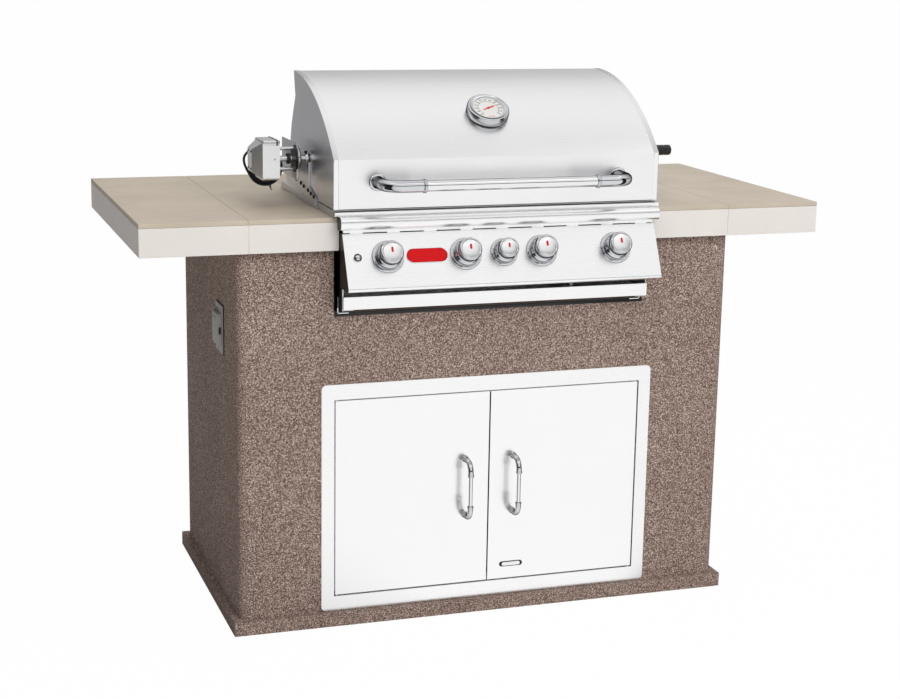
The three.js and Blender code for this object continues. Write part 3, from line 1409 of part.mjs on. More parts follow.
function buildCord() {
  const { points, tip } = cordPath();
  const path = new THREE.CatmullRomCurve3(points, false, "centripetal");
  const length = path.getLength();
  const loopLength = 2 * Math.PI * COIL_RADIUS;
  const steps = Math.round((length / loopLength) * COIL_LOOP_STEPS * 1.1);
  add("motor_cord", tube(path, CORD_RADIUS, steps, CORD_SIDES), BLACK_RUBBER);
  reportCord(path, length);

  const start = tip.clone().addScaledVector(Y, FIT);
  const plug = turned(
    [
      [0, 0],
      [PLUG_NECK_RADIUS, 0],
      [PLUG_NECK_RADIUS, PLUG_NECK],
      [PLUG_RADIUS, PLUG_NECK * 1.5],
      [PLUG_RADIUS, PLUG_LENGTH],
      [0, PLUG_LENGTH],
    ],
    start,
    Y,
    SMALL_ROUND,
  );
  const prongs = [-1, 1].map((sign) =>
    box(
      band(start.x + (sign * PRONG_GAP) / 2, PRONG_THICK),
      [start.y + PLUG_LENGTH / 2, start.y + PLUG_LENGTH + PRONG_LENGTH],
      band(start.z, PRONG_WIDTH),
    ),
  );
  add("motor_plug", join(plug, ...prongs), BLACK_RUBBER);
}

// Prints the cord's length and the least gap between two of its loops.
function reportCord(path, length) {
  const samples = 900;
  const apart = (3 * 2 * CORD_RADIUS * samples) / length;
  const points = path.getSpacedPoints(samples);
  let least = Infinity;
  points.forEach((point, i) => {
    for (let j = i + Math.ceil(apart); j < points.length; j += 1)
      least = Math.min(least, point.distanceTo(points[j]));
  });
  console.log(`cord length ${length.toFixed(1)}, least gap ${(least - 2 * CORD_RADIUS).toFixed(2)}`);
}

buildBase();
buildCounter();
buildDoors();
buildOutlet();
buildGrillBody();
buildFrontRail();
buildControlPanel();
buildControls();
buildFirebox();
buildTray();
buildHood();
buildThermometer();
buildSpit();
buildMotor(buildBrackets());
buildCord();

// The origin goes under the middle of the box of all pieces but the cord and its plug.
const bounds = new THREE.Box3();
for (const mesh of island.children)
  if (!mesh.name.startsWith("motor_cord") && !mesh.name.startsWith("motor_plug"))
    bounds.expandByObject(mesh);
const middle = bounds.getCenter(new THREE.Vector3());
island.position.set(-middle.x, -middle.y, -bounds.min.z);

export default island;
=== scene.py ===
"""Outdoor kitchen island: a stuccoed base and tiled counter with a built-in gas grill.

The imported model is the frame. Flat and folded pieces are refined copies of its nodes with
rounded edges, and the round, bent and wound pieces are surfaces worked out with numpy.
All lengths are in metres, with +X to the right, +Y to the back and +Z up.
"""

import logging
import math
from dataclasses import dataclass, field
from enum import Enum

import bmesh
import bpy
import numpy as np
from mathutils import Matrix, Vector

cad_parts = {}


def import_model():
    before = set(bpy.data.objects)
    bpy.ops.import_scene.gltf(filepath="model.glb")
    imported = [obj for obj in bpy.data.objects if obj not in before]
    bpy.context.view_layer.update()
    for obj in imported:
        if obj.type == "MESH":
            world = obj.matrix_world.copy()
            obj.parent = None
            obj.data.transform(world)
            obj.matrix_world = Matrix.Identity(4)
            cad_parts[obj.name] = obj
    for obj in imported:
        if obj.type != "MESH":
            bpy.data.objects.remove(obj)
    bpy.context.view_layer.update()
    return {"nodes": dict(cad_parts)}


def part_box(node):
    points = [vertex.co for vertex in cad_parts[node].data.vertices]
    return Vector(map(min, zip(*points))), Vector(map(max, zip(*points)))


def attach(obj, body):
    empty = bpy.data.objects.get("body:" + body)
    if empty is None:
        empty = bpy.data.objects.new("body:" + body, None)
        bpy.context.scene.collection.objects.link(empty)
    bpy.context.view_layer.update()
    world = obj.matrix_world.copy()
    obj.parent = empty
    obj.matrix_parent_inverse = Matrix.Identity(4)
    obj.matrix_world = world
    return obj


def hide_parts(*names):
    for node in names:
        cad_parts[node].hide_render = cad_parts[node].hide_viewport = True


log = logging.getLogger("island")

MM = 0.001
FRONT = -0.31085  # y of the stucco's front face
COUNTER_TOP = 0.991
PIXELS_ACROSS = 900
SENSOR = 36.0
SIDEWAYS_SHARE = 0.9  # a face looks sideways where its normal's x is larger
MERGE_WITHIN = 0.002 * MM
BLACK = "#000000"
WHITE = "#ffffff"

RIGHT = (1, 0, 0)
LEFT = (-1, 0, 0)
BACK = (0, 1, 0)
AHEAD = (0, -1, 0)
UP = (0, 0, 1)
SIDES = (("left", -1), ("right", 1))

Point = tuple[float, float, float] | np.ndarray
Piece = bpy.types.Object
Tree = bpy.types.NodeTree
Node = bpy.types.Node
Socket = bpy.types.NodeSocket


# Colours and shader nodes
def linear(code: str) -> tuple[float, float, float, float]:
    """Turn an sRGB hex colour to linear light.

    Args:
        code: the colour as "#rrggbb".

    Returns:
        Red, green, blue and an alpha of one.
    """
    parts = [int(code[i : i + 2], 16) / 255 for i in (1, 3, 5)]
    red, green, blue = (
        part / 12.92 if part <= 0.04045 else ((part + 0.055) / 1.055) ** 2.4
        for part in parts
    )
    return (red, green, blue, 1.0)


def add_node(
    tree: Tree,
    kind: str,
    inputs: dict | None = None,
    links: dict | None = None,
    **settings: object,
) -> Node:
    """Add a shader node with its settings, socket values and links.

    Args:
        tree: the node tree that gets it.
        kind: the node's type, such as "ShaderNodeTexNoise".
        inputs: values by socket name or number.
        links: what feeds each input, by its name or number. A node stands for its first
            output that is in use.
        settings: the node's own properties.

    Returns:
        The new node.
    """
    node = tree.nodes.new(kind)
    for name, value in settings.items():
        setattr(node, name, value)
    for name, value in (inputs or {}).items():
        node.inputs[name].default_value = value
    for name, source in (links or {}).items():
        if isinstance(source, bpy.types.Node):
            source = next(socket for socket in source.outputs if socket.enabled)
        tree.links.new(source, node.inputs[name])
    return node


def ramp(tree: Tree, factor: Node | Socket, stops: list) -> Node:
    """Add a colour ramp.

    Args:
        tree: the node tree that gets it.
        factor: what drives it.
        stops: pairs of place and sRGB hex colour, in order.

    Returns:
        The ramp's node.
    """
    node = add_node(tree, "ShaderNodeValToRGB", links={"Fac": factor})
    points = node.color_ramp.elements
    while len(points) < len(stops):
        points.new(0.5)
    for point, (place, code) in zip(points, stops):
        point.position = place
        point.color = linear(code)
    return node


# Meshes
def linked(name: str, data: bpy.types.ID) -> Piece:
    """Make an object and link it to the scene.

    Args:
        name: the object's name.
        data: its mesh, curve, lamp or camera.

    Returns:
        The object.
    """
    made = bpy.data.objects.new(name, data)
    bpy.context.scene.collection.objects.link(made)
    return made


def mesh_object(
    name: str, vertices: np.ndarray, faces: np.ndarray, crease: float = 40.0
) -> Piece:
    """Make a closed, smooth mesh object from arrays, with its doubles merged.

    Args:
        name: the object's name.
        vertices: points, one row each.
        faces: four vertex numbers for each face.
        crease: edges that turn by more than this many degrees stay sharp.

    Returns:
        The object, linked to the scene, with its faces pointing outwards.
    """
    mesh = bpy.data.meshes.new(name)
    mesh.vertices.add(len(vertices))
    mesh.vertices.foreach_set("co", vertices.astype(np.float32).ravel())
    mesh.loops.add(faces.size)
    mesh.loops.foreach_set("vertex_index", faces.astype(np.int32).ravel())
    mesh.polygons.add(len(faces))
    mesh.polygons.foreach_set("loop_start", np.arange(0, faces.size, 4, dtype=np.int32))
    mesh.update(calc_edges=True)
    mesh.validate()
    work = bmesh.new()
    work.from_mesh(mesh)
    bmesh.ops.remove_doubles(work, verts=work.verts, dist=MERGE_WITHIN)
    bmesh.ops.recalc_face_normals(work, faces=work.faces)
    for face in work.faces:
        face.smooth = True
    work.to_mesh(mesh)
    work.free()
    mesh.set_sharp_from_angle(angle=math.radians(crease))
    return linked(name, mesh)


def grid_surface(name: str, points: np.ndarray, crease: float = 40.0) -> Piece:
    """Join grids of points into surfaces that close round their last direction.

    The surface is points[..., i, j]: i runs along the piece and j runs round it. A row whose
    points all lie together is a pole, and the merge of doubles closes it.

    Args:
        name: the object's name.
        points: array of rows, columns and coordinates, or of several such grids.
        crease: edges that turn by more than this many degrees stay sharp.

    Returns:
        The object.
    """
    number = np.arange(points.size // 3).reshape(points.shape[:-1])
    after = np.roll(number, -1, axis=-1)
    faces = np.stack(
        [number[..., :-1, :], after[..., :-1, :], after[..., 1:, :], number[..., 1:, :]], axis=-1
    )
    return mesh_object(name, points.reshape(-1, 3), faces.reshape(-1, 4), crease)


def revolved(
    name: str, profile: list, foot: Point, axis: Point, steps: int = 72, crease: float = 40.0
) -> Piece:
    """Turn a profile about an axis.

    A point is foot + h * axis + r * (cos a * side + sin a * other), for each (r, h) of the
    profile and each angle a round the axis.

    Args:
        name: the object's name.
        profile: pairs of radius and height. It starts and ends on the axis, or closes on itself.
        foot: the point where the height is nothing.
        axis: the direction in which the height grows.
        steps: how many angles.
        crease: edges that turn by more than this many degrees stay sharp.

    Returns:
        The object.
    """
    direction = np.array(Vector(axis).normalized())
    side = np.array(Vector(axis).orthogonal().normalized())
    other = np.cross(direction, side)
    outline = np.array(profile, float)
    angle = np.linspace(0, 2 * np.pi, steps, endpoint=False)
    round_ = np.cos(angle)[:, None] * side + np.sin(angle)[:, None] * other
    points = (
        np.array(foot)
        + outline[:, 1, None, None] * direction
        + outline[:, 0, None, None] * round_[None]
    )
    return grid_surface(name, points, crease)


def swept(
    name: str, path: np.ndarray, radius: np.ndarray | float, across: Point, sides: int = 24
) -> Piece:
    """Carry a circle along a path and close both ends.

    A point is p + r * (cos a * side + sin a * other), where p is on the path, side is square to
    the path's direction and to the fixed vector across, and other is square to both.

    Args:
        name: the object's name.
        path: points of the middle line.
        radius: one radius, or one for each point of the path.
        across: a vector that the path never runs along.
        sides: how many points the circle has.

    Returns:
        The object.
    """
    run = np.gradient(path, axis=0)
    run /= np.linalg.norm(run, axis=1, keepdims=True)
    side = np.cross(run, np.array(across, float))
    side /= np.linalg.norm(side, axis=1, keepdims=True)
    other = np.cross(run, side)
    angle = np.linspace(0, 2 * np.pi, sides, endpoint=False)
    size = np.broadcast_to(np.asarray(radius, float), len(path))
    ring = (
        np.cos(angle)[None, :, None] * side[:, None]
        + np.sin(angle)[None, :, None] * other[:, None]
    )
    points = path[:, None] + size[:, None, None] * ring
    first = np.repeat(path[:1, None], sides, axis=1)
    last = np.repeat(path[-1:, None], sides, axis=1)
    return grid_surface(name, np.concatenate([first, points, last]))


def layered(
    name: str, outline: np.ndarray, layers: list, foot: Point, right: Point, up: Point
) -> Piece:
    """Stack one closed outline in layers, each drawn in by a set amount, and close both ends.

    A point is foot + (u - inset * du) * right + (v - inset * dv) * up + height * out, where
    (du, dv) is the outline's outward direction there and out is square to right and up.

    Args:
        name: the object's name.
        outline: points (u, v) against the clock.
        layers: pairs of inset and height, from the back to the face.
        foot: the middle of the outline.
        right: direction of u.
        up: direction of v.

    Returns:
        The object.
    """
    across = np.array(Vector(right).normalized())
    along = np.array(Vector(up).normalized())
    out = np.cross(across, along)
    run = np.roll(outline, -1, axis=0) - np.roll(outline, 1, axis=0)
    outward = np.stack([run[:, 1], -run[:, 0]], axis=1)
    outward /= np.linalg.norm(outward, axis=1, keepdims=True)
    sizes = np.array(layers, float)
    flat = outline[None] - sizes[:, 0, None, None] * outward[None]
    middle = np.zeros_like(flat[:1])
    flat = np.concatenate([middle, flat, middle])
    height = np.concatenate([sizes[:1, 1], sizes[:, 1], sizes[-1:, 1]])
    points = (
        np.array(foot)
        + flat[..., 0, None] * across
        + flat[..., 1, None] * along
        + height[:, None, None] * out
    )
    return grid_surface(name, points)


def stamped(
    name: str, outline: np.ndarray, thickness: float, places: np.ndarray, right: Point, up: Point
) -> Piece:
    """Repeat one flat outline at many places, as small closed plates.

    Each point is place + u * right + v * up + height * out, where out is right cross up.

    Args:
        name: the object's name.
        outline: points (u, v) against the clock.
        thickness: of each plate.
        places: middles of the plates' feet.
        right: direction of u, for all the places or one for each.
        up: direction of v, likewise.

    Returns:
        One object that holds all the plates.
    """
    rights, ups = (np.broadcast_to(way, places.shape) for way in (right, up))
    flat = np.stack([outline * 0, outline, outline, outline * 0])
    height = np.array([0, 0, thickness, thickness])
    out = np.cross(rights, ups)
    points = (
        places[:, None, None]
        + flat[None, ..., 0, None] * rights[:, None, None]
        + flat[None, ..., 1, None] * ups[:, None, None]
        + height[None, :, None, None] * out[:, None, None]
    )
    return grid_surface(name, points)


def stadium(width: float, height: float, steps: int = 20) -> np.ndarray:
    """Outline of a pill: two half circles of the height, joined by straight lines.

    Args:
        width: overall width.
        height: overall height.
        steps: points in each half circle.

    Returns:
        Points (u, v) against the clock.
    """
    angle = np.linspace(-np.pi / 2, np.pi / 2, steps)
    end = np.stack([np.cos(angle), np.sin(angle)], axis=1) * height / 2
    shift = np.array([(width - height) / 2, 0])
    return np.concatenate([end + shift, -end - shift])


def rounded(width: float, height: float, radius: float, steps: int = 6) -> np.ndarray:
    """Outline of a rectangle with round corners.

    Args:
        width: overall width.
        height: overall height.
        radius: of each corner.
        steps: points in each corner.

    Returns:
        Points (u, v) against the clock.
    """
    angle = np.linspace(0, np.pi / 2, steps)
    arcs = []
    for turn, (a, b) in enumerate([(1, 1), (-1, 1), (-1, -1), (1, -1)]):
        corner = np.array([a * (width / 2 - radius), b * (height / 2 - radius)])
        round_ = np.stack([np.cos(angle + turn * np.pi / 2), np.sin(angle + turn * np.pi / 2)], 1)
        arcs.append(corner + radius * round_)
    return np.concatenate(arcs)


def bent(points: list, radius: float, steps: int = 14) -> np.ndarray:
    """A path of straight runs whose corners are quarter circles.

    Between a corner's two touching points a and b the path is the circle about a + b - corner.

    Args:
        points: corners of the path. Its runs meet at right angles.
        radius: of the bends.
        steps: points in each bend.

    Returns:
        Points of the path.
    """
    corners = [np.array(p, float) for p in points]
    made = [corners[0][None]]
    for before, corner, after in zip(corners, corners[1:], corners[2:]):
        back = (before - corner) / np.linalg.norm(before - corner)
        on = (after - corner) / np.linalg.norm(after - corner)
        middle = corner + radius * (back + on)
        angle = np.linspace(0, np.pi / 2, steps)[:, None]
        made.append(middle - radius * (np.cos(angle) * on + np.sin(angle) * back))
    made.append(corners[-1][None])
    return np.concatenate(made)


def cubic(ends: list, steps: int) -> np.ndarray:
    """A cubic curve: its four points, each weighted by one of the cubic's four terms.

    Args:
        ends: the start, the two points that it heads for, and the end.
        steps: how many points.

    Returns:
        Points of the curve.
    """
    a, b, c, d = ends
    t = np.linspace(0, 1, steps)[:, None]
    return a * (1 - t) ** 3 + 3 * b * t * (1 - t) ** 2 + 3 * c * t * t * (1 - t) + d * t**3


def sampled(points: np.ndarray, step: float) -> np.ndarray:
    """Space the points of a path evenly, by linear steps along its length.

    Args:
        points: the path.
        step: about how far apart the new points are.

    Returns:
        Points from the first to the last.
    """
    apart = np.linalg.norm(np.diff(points, axis=0), axis=1)
    along = np.concatenate([[0], np.cumsum(apart)])
    count = max(2, int(round(along[-1] / step)) + 1)
    new = np.linspace(0, along[-1], count)
    return np.stack([np.interp(new, along, points[:, k]) for k in range(3)], axis=1)


def joined(name: str, parts: list) -> Piece:
    """Join mesh objects into one, which keeps the parts' smoothness.

    Args:
        name: the new object's name.
        parts: mesh objects. They are removed.

    Returns:
        The joined object.
    """
    work = bmesh.new()
    for part in parts:
        work.from_mesh(part.data)
    mesh = bpy.data.meshes.new(name)
    work.to_mesh(mesh)
    work.free()
    for part in parts:
        bpy.data.objects.remove(part)
    return linked(name, mesh)


# Finishes
HANDLING_MARKS = 50 / 3 * MM  # apart
CLOUDS = 1000 / 9 * MM  # across, where a belt pressed harder or a tile's clay was mixed
FLOAT_MARKS = 2000 / 7 * MM  # across, where the float passed over the stucco
TILE_SPECKS = 10 / 7 * MM  # across
BRUSH_LINES = 10 / 9 * MM  # apart, about ten times coarser than the real ones
BRUSH_RUN = 250 * MM  # length of a brushed line


@dataclass(frozen=True)
class Finish:
    """A material, named for what the real one is and how its surface was made.

    A plain finish is smooth. The eye sees faint handling marks on it, about 17 mm apart.
    """

    name: str
    slot: str
    hue: str
    metallic: float = 0.0
    roughness: float = 0.5
    coat: float = 0.0
    ior: float = 1.5
    # Tint of the reflection at grazing angles. A dark rim is a painted dark reflection round a
    # piece's edges.
    rim: str = "#ffffff"

    def material(self) -> bpy.types.Material:
        """Make the material on its first use.

        Returns:
            The material.
        """
        found = bpy.data.materials.get(self.name)
        if found:
            return found
        made = bpy.data.materials.new(self.name)
        made.use_nodes = True
        tree = made.node_tree
        tree.nodes.clear()
        values = {
            "Base Color": linear(self.hue),
            "Metallic": self.metallic,
            "Roughness": self.roughness,
            "IOR": self.ior,
            "Coat Weight": self.coat,
            "Specular Tint": linear(self.rim),
        }
        place = add_node(tree, "ShaderNodeTexCoord").outputs["Object"]
        shader = add_node(tree, "ShaderNodeBsdfPrincipled", values, self.pattern(tree, place))
        add_node(tree, "ShaderNodeOutputMaterial", links={"Surface": shader})
        return made

    def pattern(self, tree: Tree, place: Socket) -> dict:
        """Draw the surface's detail, which is faint handling marks on a plain finish.

        Args:
            tree: the material's node tree.
            place: object coordinates, in metres.

        Returns:
            What feeds the principled shader, by the names of its inputs.
        """
        marks = add_node(
            tree,
            "ShaderNodeTexNoise",
            {"Scale": 1 / HANDLING_MARKS, "Detail": 3.0},
            {"Vector": place},
        )
        limits = {"To Min": self.roughness * 0.85, "To Max": self.roughness * 1.2}
        return {"Roughness": add_node(tree, "ShaderNodeMapRange", limits, {"Value": marks})}


class Grain(Enum):
    """Direction of the brushing on a steel sheet: a line's length or spacing on X, Y and Z."""

    ACROSS = (BRUSH_RUN, BRUSH_LINES, BRUSH_LINES)
    UPRIGHT = (BRUSH_LINES, BRUSH_LINES, BRUSH_RUN)
    DEEP = (BRUSH_LINES, BRUSH_RUN, BRUSH_LINES)


@dataclass(frozen=True)
class BrushedSteel(Finish):
    """Stainless sheet with a belt-brushed grain.

    The eye sees fine parallel lines that soften the reflections across them. The real lines are
    about 0.1 mm apart. They are drawn 1.1 mm apart, so that they show at all. Clouds 110 mm
    across show where the belt pressed harder.
    """

    grain: Grain = Grain.ACROSS
    depth: float = 0.012
    spread: float = 0.04

    def pattern(self, tree: Tree, place: Socket) -> dict:
        """Draw the brushed lines in the bump and the roughness, over a slow cloudiness.

        Args:
            tree: the material's node tree.
            place: object coordinates, in metres.

        Returns:
            What feeds the shader's roughness and normal.
        """
        scale = [1 / size for size in self.grain.value]
        stretch = add_node(tree, "ShaderNodeMapping", {"Scale": scale}, {"Vector": place})
        lines = add_node(
            tree,
            "ShaderNodeTexNoise",
            {"Scale": 1.0, "Detail": 2.0, "Roughness": 0.6},
            {"Vector": stretch},
        )
        cloud = add_node(
            tree, "ShaderNodeTexNoise", {"Scale": 1 / CLOUDS, "Detail": 2.0}, {"Vector": place}
        )
        both = add_node(
            tree, "ShaderNodeMix", {0: 0.35}, {2: lines, 3: cloud}, data_type="FLOAT"
        )
        limits = {
            "From Min": 0.3,
            "From Max": 0.7,
            "To Min": self.roughness - self.spread,
            "To Max": self.roughness + self.spread,
        }
        rough = add_node(tree, "ShaderNodeMapRange", limits, {"Value": both})
        relief = {"Strength": self.depth, "Distance": 0.3 * MM}
        bump = add_node(tree, "ShaderNodeBump", relief, {"Height": lines})
        return {"Roughness": rough, "Normal": bump}


@dataclass(frozen=True)
class SandedStucco(Finish):
    """Acrylic stucco, floated with a coarse sand.

    The eye sees grains of three tones, 2 to 3 mm across, that stand proud of each other. A slow
    cloudiness, 290 mm across, shows where the float passed.
    """

    dark: str = "#3c2c28"
    light: str = "#ecd8cc"
    grain: float = 2.5 * MM

    def pattern(self, tree: Tree, place: Socket) -> dict:
        """Mix three tones by grain-sized noise, and raise the grains.

        Args:
            tree: the material's node tree.
            place: object coordinates, in metres.

        Returns:
            What feeds the shader's colour and normal.
        """
        grains = add_node(
            tree,
            "ShaderNodeTexNoise",
            {"Scale": 1 / self.grain, "Detail": 3.0, "Roughness": 0.65},
            {"Vector": place},
        )
        stops = [(0.37, self.dark), (0.475, self.hue), (0.525, self.hue), (0.635, self.light)]
        cloud = add_node(
            tree,
            "ShaderNodeTexNoise",
            {"Scale": 1 / FLOAT_MARKS, "Detail": 2.0},
            {"Vector": place},
        )
        colour = add_node(
            tree,
            "ShaderNodeMix",
            {0: 1.0},
            {6: ramp(tree, grains, stops), 7: ramp(tree, cloud, [(0.3, "#f0efee"), (0.7, WHITE)])},
            data_type="RGBA",
            blend_type="MULTIPLY",
        )
        relief = {"Strength": 0.55, "Distance": 1.6 * MM}
        bump = add_node(tree, "ShaderNodeBump", relief, {"Height": grains})
        return {"Base Color": colour, "Normal": bump}


@dataclass(frozen=True)
class StoneTile(Finish):
    """Unglazed porcelain tile, pressed and fired.

    The eye sees a matt, even face with clouds a hand wide and specks of 1.4 mm.
    """

    cloudy: str = "#c6b9a6"
    speck: str = "#a39380"

    def pattern(self, tree: Tree, place: Socket) -> dict:
        """Mix clouds of two tones with sparse specks, and a low bump.

        Args:
            tree: the material's node tree.
            place: object coordinates, in metres.

        Returns:
            What feeds the shader's colour and normal.
        """
        cloud = add_node(
            tree,
            "ShaderNodeTexNoise",
            {"Scale": 1 / CLOUDS, "Detail": 5.0, "Roughness": 0.6, "Distortion": 0.4},
            {"Vector": place},
        )
        specks = add_node(
            tree,
            "ShaderNodeTexNoise",
            {"Scale": 1 / TILE_SPECKS, "Detail": 1.0},
            {"Vector": place},
        )
        colour = add_node(
            tree,
            "ShaderNodeMix",
            {7: linear(self.speck)},
            {
                0: ramp(tree, specks, [(0.64, BLACK), (0.72, "#8f8f8f")]),
                6: ramp(tree, cloud, [(0.35, self.cloudy), (0.62, self.hue)]),
            },
            data_type="RGBA",
        )
        relief = {"Strength": 0.12, "Distance": 0.4 * MM}
        bump = add_node(tree, "ShaderNodeBump", relief, {"Height": specks})
        return {"Base Color": colour, "Normal": bump}


@dataclass(frozen=True)
class SpeckledSolid(Finish):
    """A cast or moulded solid with a fine texture, such as cement board, plastic or rubber.

    The eye sees a grain of 1.5 mm, a little lighter and darker, that breaks up the highlights.
    """

    grain: float = 1.5 * MM
    depth: float = 0.2
    spread: float = 0.12

    def pattern(self, tree: Tree, place: Socket) -> dict:
        """Vary the colour a little and raise a fine grain.

        Args:
            tree: the material's node tree.
            place: object coordinates, in metres.

        Returns:
            What feeds the shader's colour and normal.
        """
        noise = add_node(
            tree, "ShaderNodeTexNoise", {"Scale": 1 / self.grain, "Detail": 3.0}, {"Vector": place}
        )
        limits = {"To Min": 1 - self.spread, "To Max": 1 + self.spread}
        value = add_node(tree, "ShaderNodeMapRange", limits, {"Value": noise})
        colour = add_node(
            tree, "ShaderNodeHueSaturation", {"Color": linear(self.hue)}, {"Value": value}
        )
        relief = {"Strength": self.depth, "Distance": 0.4 * MM}
        bump = add_node(tree, "ShaderNodeBump", relief, {"Height": noise})
        return {"Base Color": colour, "Normal": bump}


# Stainless sheet, belt-brushed: bright, with level lines that smear reflections upright.
STEEL = BrushedSteel("Brushed stainless", "brushed_steel", "#fafafa", 1.0, 0.27)
# The hood's sheet is brushed a little coarser, which blurs what it mirrors.
STEEL_HOOD = BrushedSteel("Satin stainless hood", "brushed_steel", "#fafafa", 1.0, 0.3)
# The doors are brushed up and down with a finer belt, so they mirror more.
STEEL_UPRIGHT = BrushedSteel(
    "Brushed stainless upright", "brushed_steel", "#fafafa", 1.0, 0.22, grain=Grain.UPRIGHT
)
# Inner sheets and plates are brushed front to back. Their greyer tone is painted shade, for sheets
# that lie in the shade behind the front.
STEEL_DEEP_SHADED = BrushedSteel(
    "Brushed stainless front to back, painted shade", "brushed_steel", "#c9c9cc", 1.0, 0.3, grain=Grain.DEEP
)
# The hood's side sheets are the same steel. Their darker tone, between the two, is painted shade
# for the sides that face away from the light.
STEEL_SIDE_SHADED = BrushedSteel(
    "Brushed stainless side sheet, painted shade", "brushed_steel", "#d6d6da", 1.0, 0.3, grain=Grain.DEEP
)
# Trim that was polished after its brushing has small, crisp highlights.
STEEL_BRIGHT = BrushedSteel(
    "Polished stainless trim", "brushed_steel", "#f2f2f3", 1.0, 0.12, depth=0.02
)
# Chrome plate on polished steel mirrors like glass. Its rim is tinted near black, a painted dark
# reflection that outlines each tube.
CHROME = Finish("Chrome plate", "bright_chrome", "#d4d5d8", 1.0, 0.045, rim="#050505")
# The polished bar's rim is tinted near black too: a painted dark reflection along its edges.
CHROME_BAR = Finish("Polished bar", "bright_chrome", "#eeeeef", 1.0, 0.12, rim="#050505")
# The knobs' faces are plated over a brushed face, so they shine evenly.
CHROME_SATIN = BrushedSteel("Satin chrome", "bright_chrome", "#f4f4f4", 1.0, 0.3)
# Die-cast aluminium, brushed and bare, is a soft pale grey.
MOTOR_SHELL = BrushedSteel("Satin aluminium shell", "motor_housing", "#ebebeb", 1.0, 0.3)
# Extruded tube as it left the mill is dull and faintly mottled.
TUBE_STEEL = SpeckledSolid("Mill aluminium tube", "frame_tube", "#b4b7ba", 1.0, 0.42, depth=0.1)
# Stainless that has been red hot is brown and blotched.
HOT_STEEL = SpeckledSolid("Heat-darkened steel", "burner_steel", "#5a5754", 1.0, 0.5, spread=0.3)
# Drawn steel pipe has a plain grey skin.
GAS_PIPE = SpeckledSolid("Plain gas pipe", "gas_pipe", "#a7a9ac", 1.0, 0.4, depth=0.1)
# Stucco with its sand floated up is rough and wholly matt.
STUCCO = SandedStucco("Sanded acrylic stucco", "stucco", "#8f786d", 0.0, 0.95)
# The top tiles are tan, with a low sheen at a flat angle.
TOP_TILE = StoneTile("Unglazed top tile", "top_tile", "#cfc2b0", 0.0, 0.55)
# The edge tiles are a paler batch.
EDGE_TILE = StoneTile(
    "Unglazed edge tile", "edge_tile", "#ede7e1", 0.0, 0.55, cloudy="#eae4de", speck="#cdbfb2"
)
# Cement board is matt and uneven, and sanded grout a little paler.
CEMENT = SpeckledSolid("Cement board and grout", "deck", "#a69b8d", 0.0, 0.95, spread=0.2)
GROUT = SpeckledSolid("Sanded tile grout", "deck", "#c3b7a6", 0.0, 0.9)
# Moulded plastics have a fine mould texture that keeps their highlights soft.
GREY_ABS = SpeckledSolid("Moulded grey ABS", "grey_plastic", "#b3b1ae", 0.0, 0.45, depth=0.08)
BLACK_NYLON = SpeckledSolid("Moulded black nylon", "black_plastic", "#171717", 0.0, 0.38)
BLACK_PVC = SpeckledSolid("Black PVC lead", "black_rubber", "#141414", 0.0, 0.42, depth=0.08)
# Painted shade: the cheeks beside the panel and the body lie in deep shade, so they get a
# near-black finish that mirrors little.
CHEEK_SHADE_BLACK = Finish("Black painted shade on the cheeks", "black_plastic", "#0c0c0d", 0.0, 0.35, ior=1.3)
# Oil-blackened steel keeps a dull metal glint.
BLACK_STEEL = SpeckledSolid("Blackened screw steel", "black_plastic", "#2b2b2d", 0.6, 0.4)
# Red enamel is even and saturated, with hardly a highlight.
RED_ENAMEL = Finish("Red enamel", "bright_chrome", "#d20812", 0.0, 0.4, ior=1.3)
# The dial's print lies under its clear coat.
DIAL_WHITE = SpeckledSolid("Printed dial white", "bright_chrome", "#e0deda", 0.0, 0.4, coat=0.5)
DIAL_BLACK = Finish("Printed dial black", "black_plastic", "#232427", 0.0, 0.5)


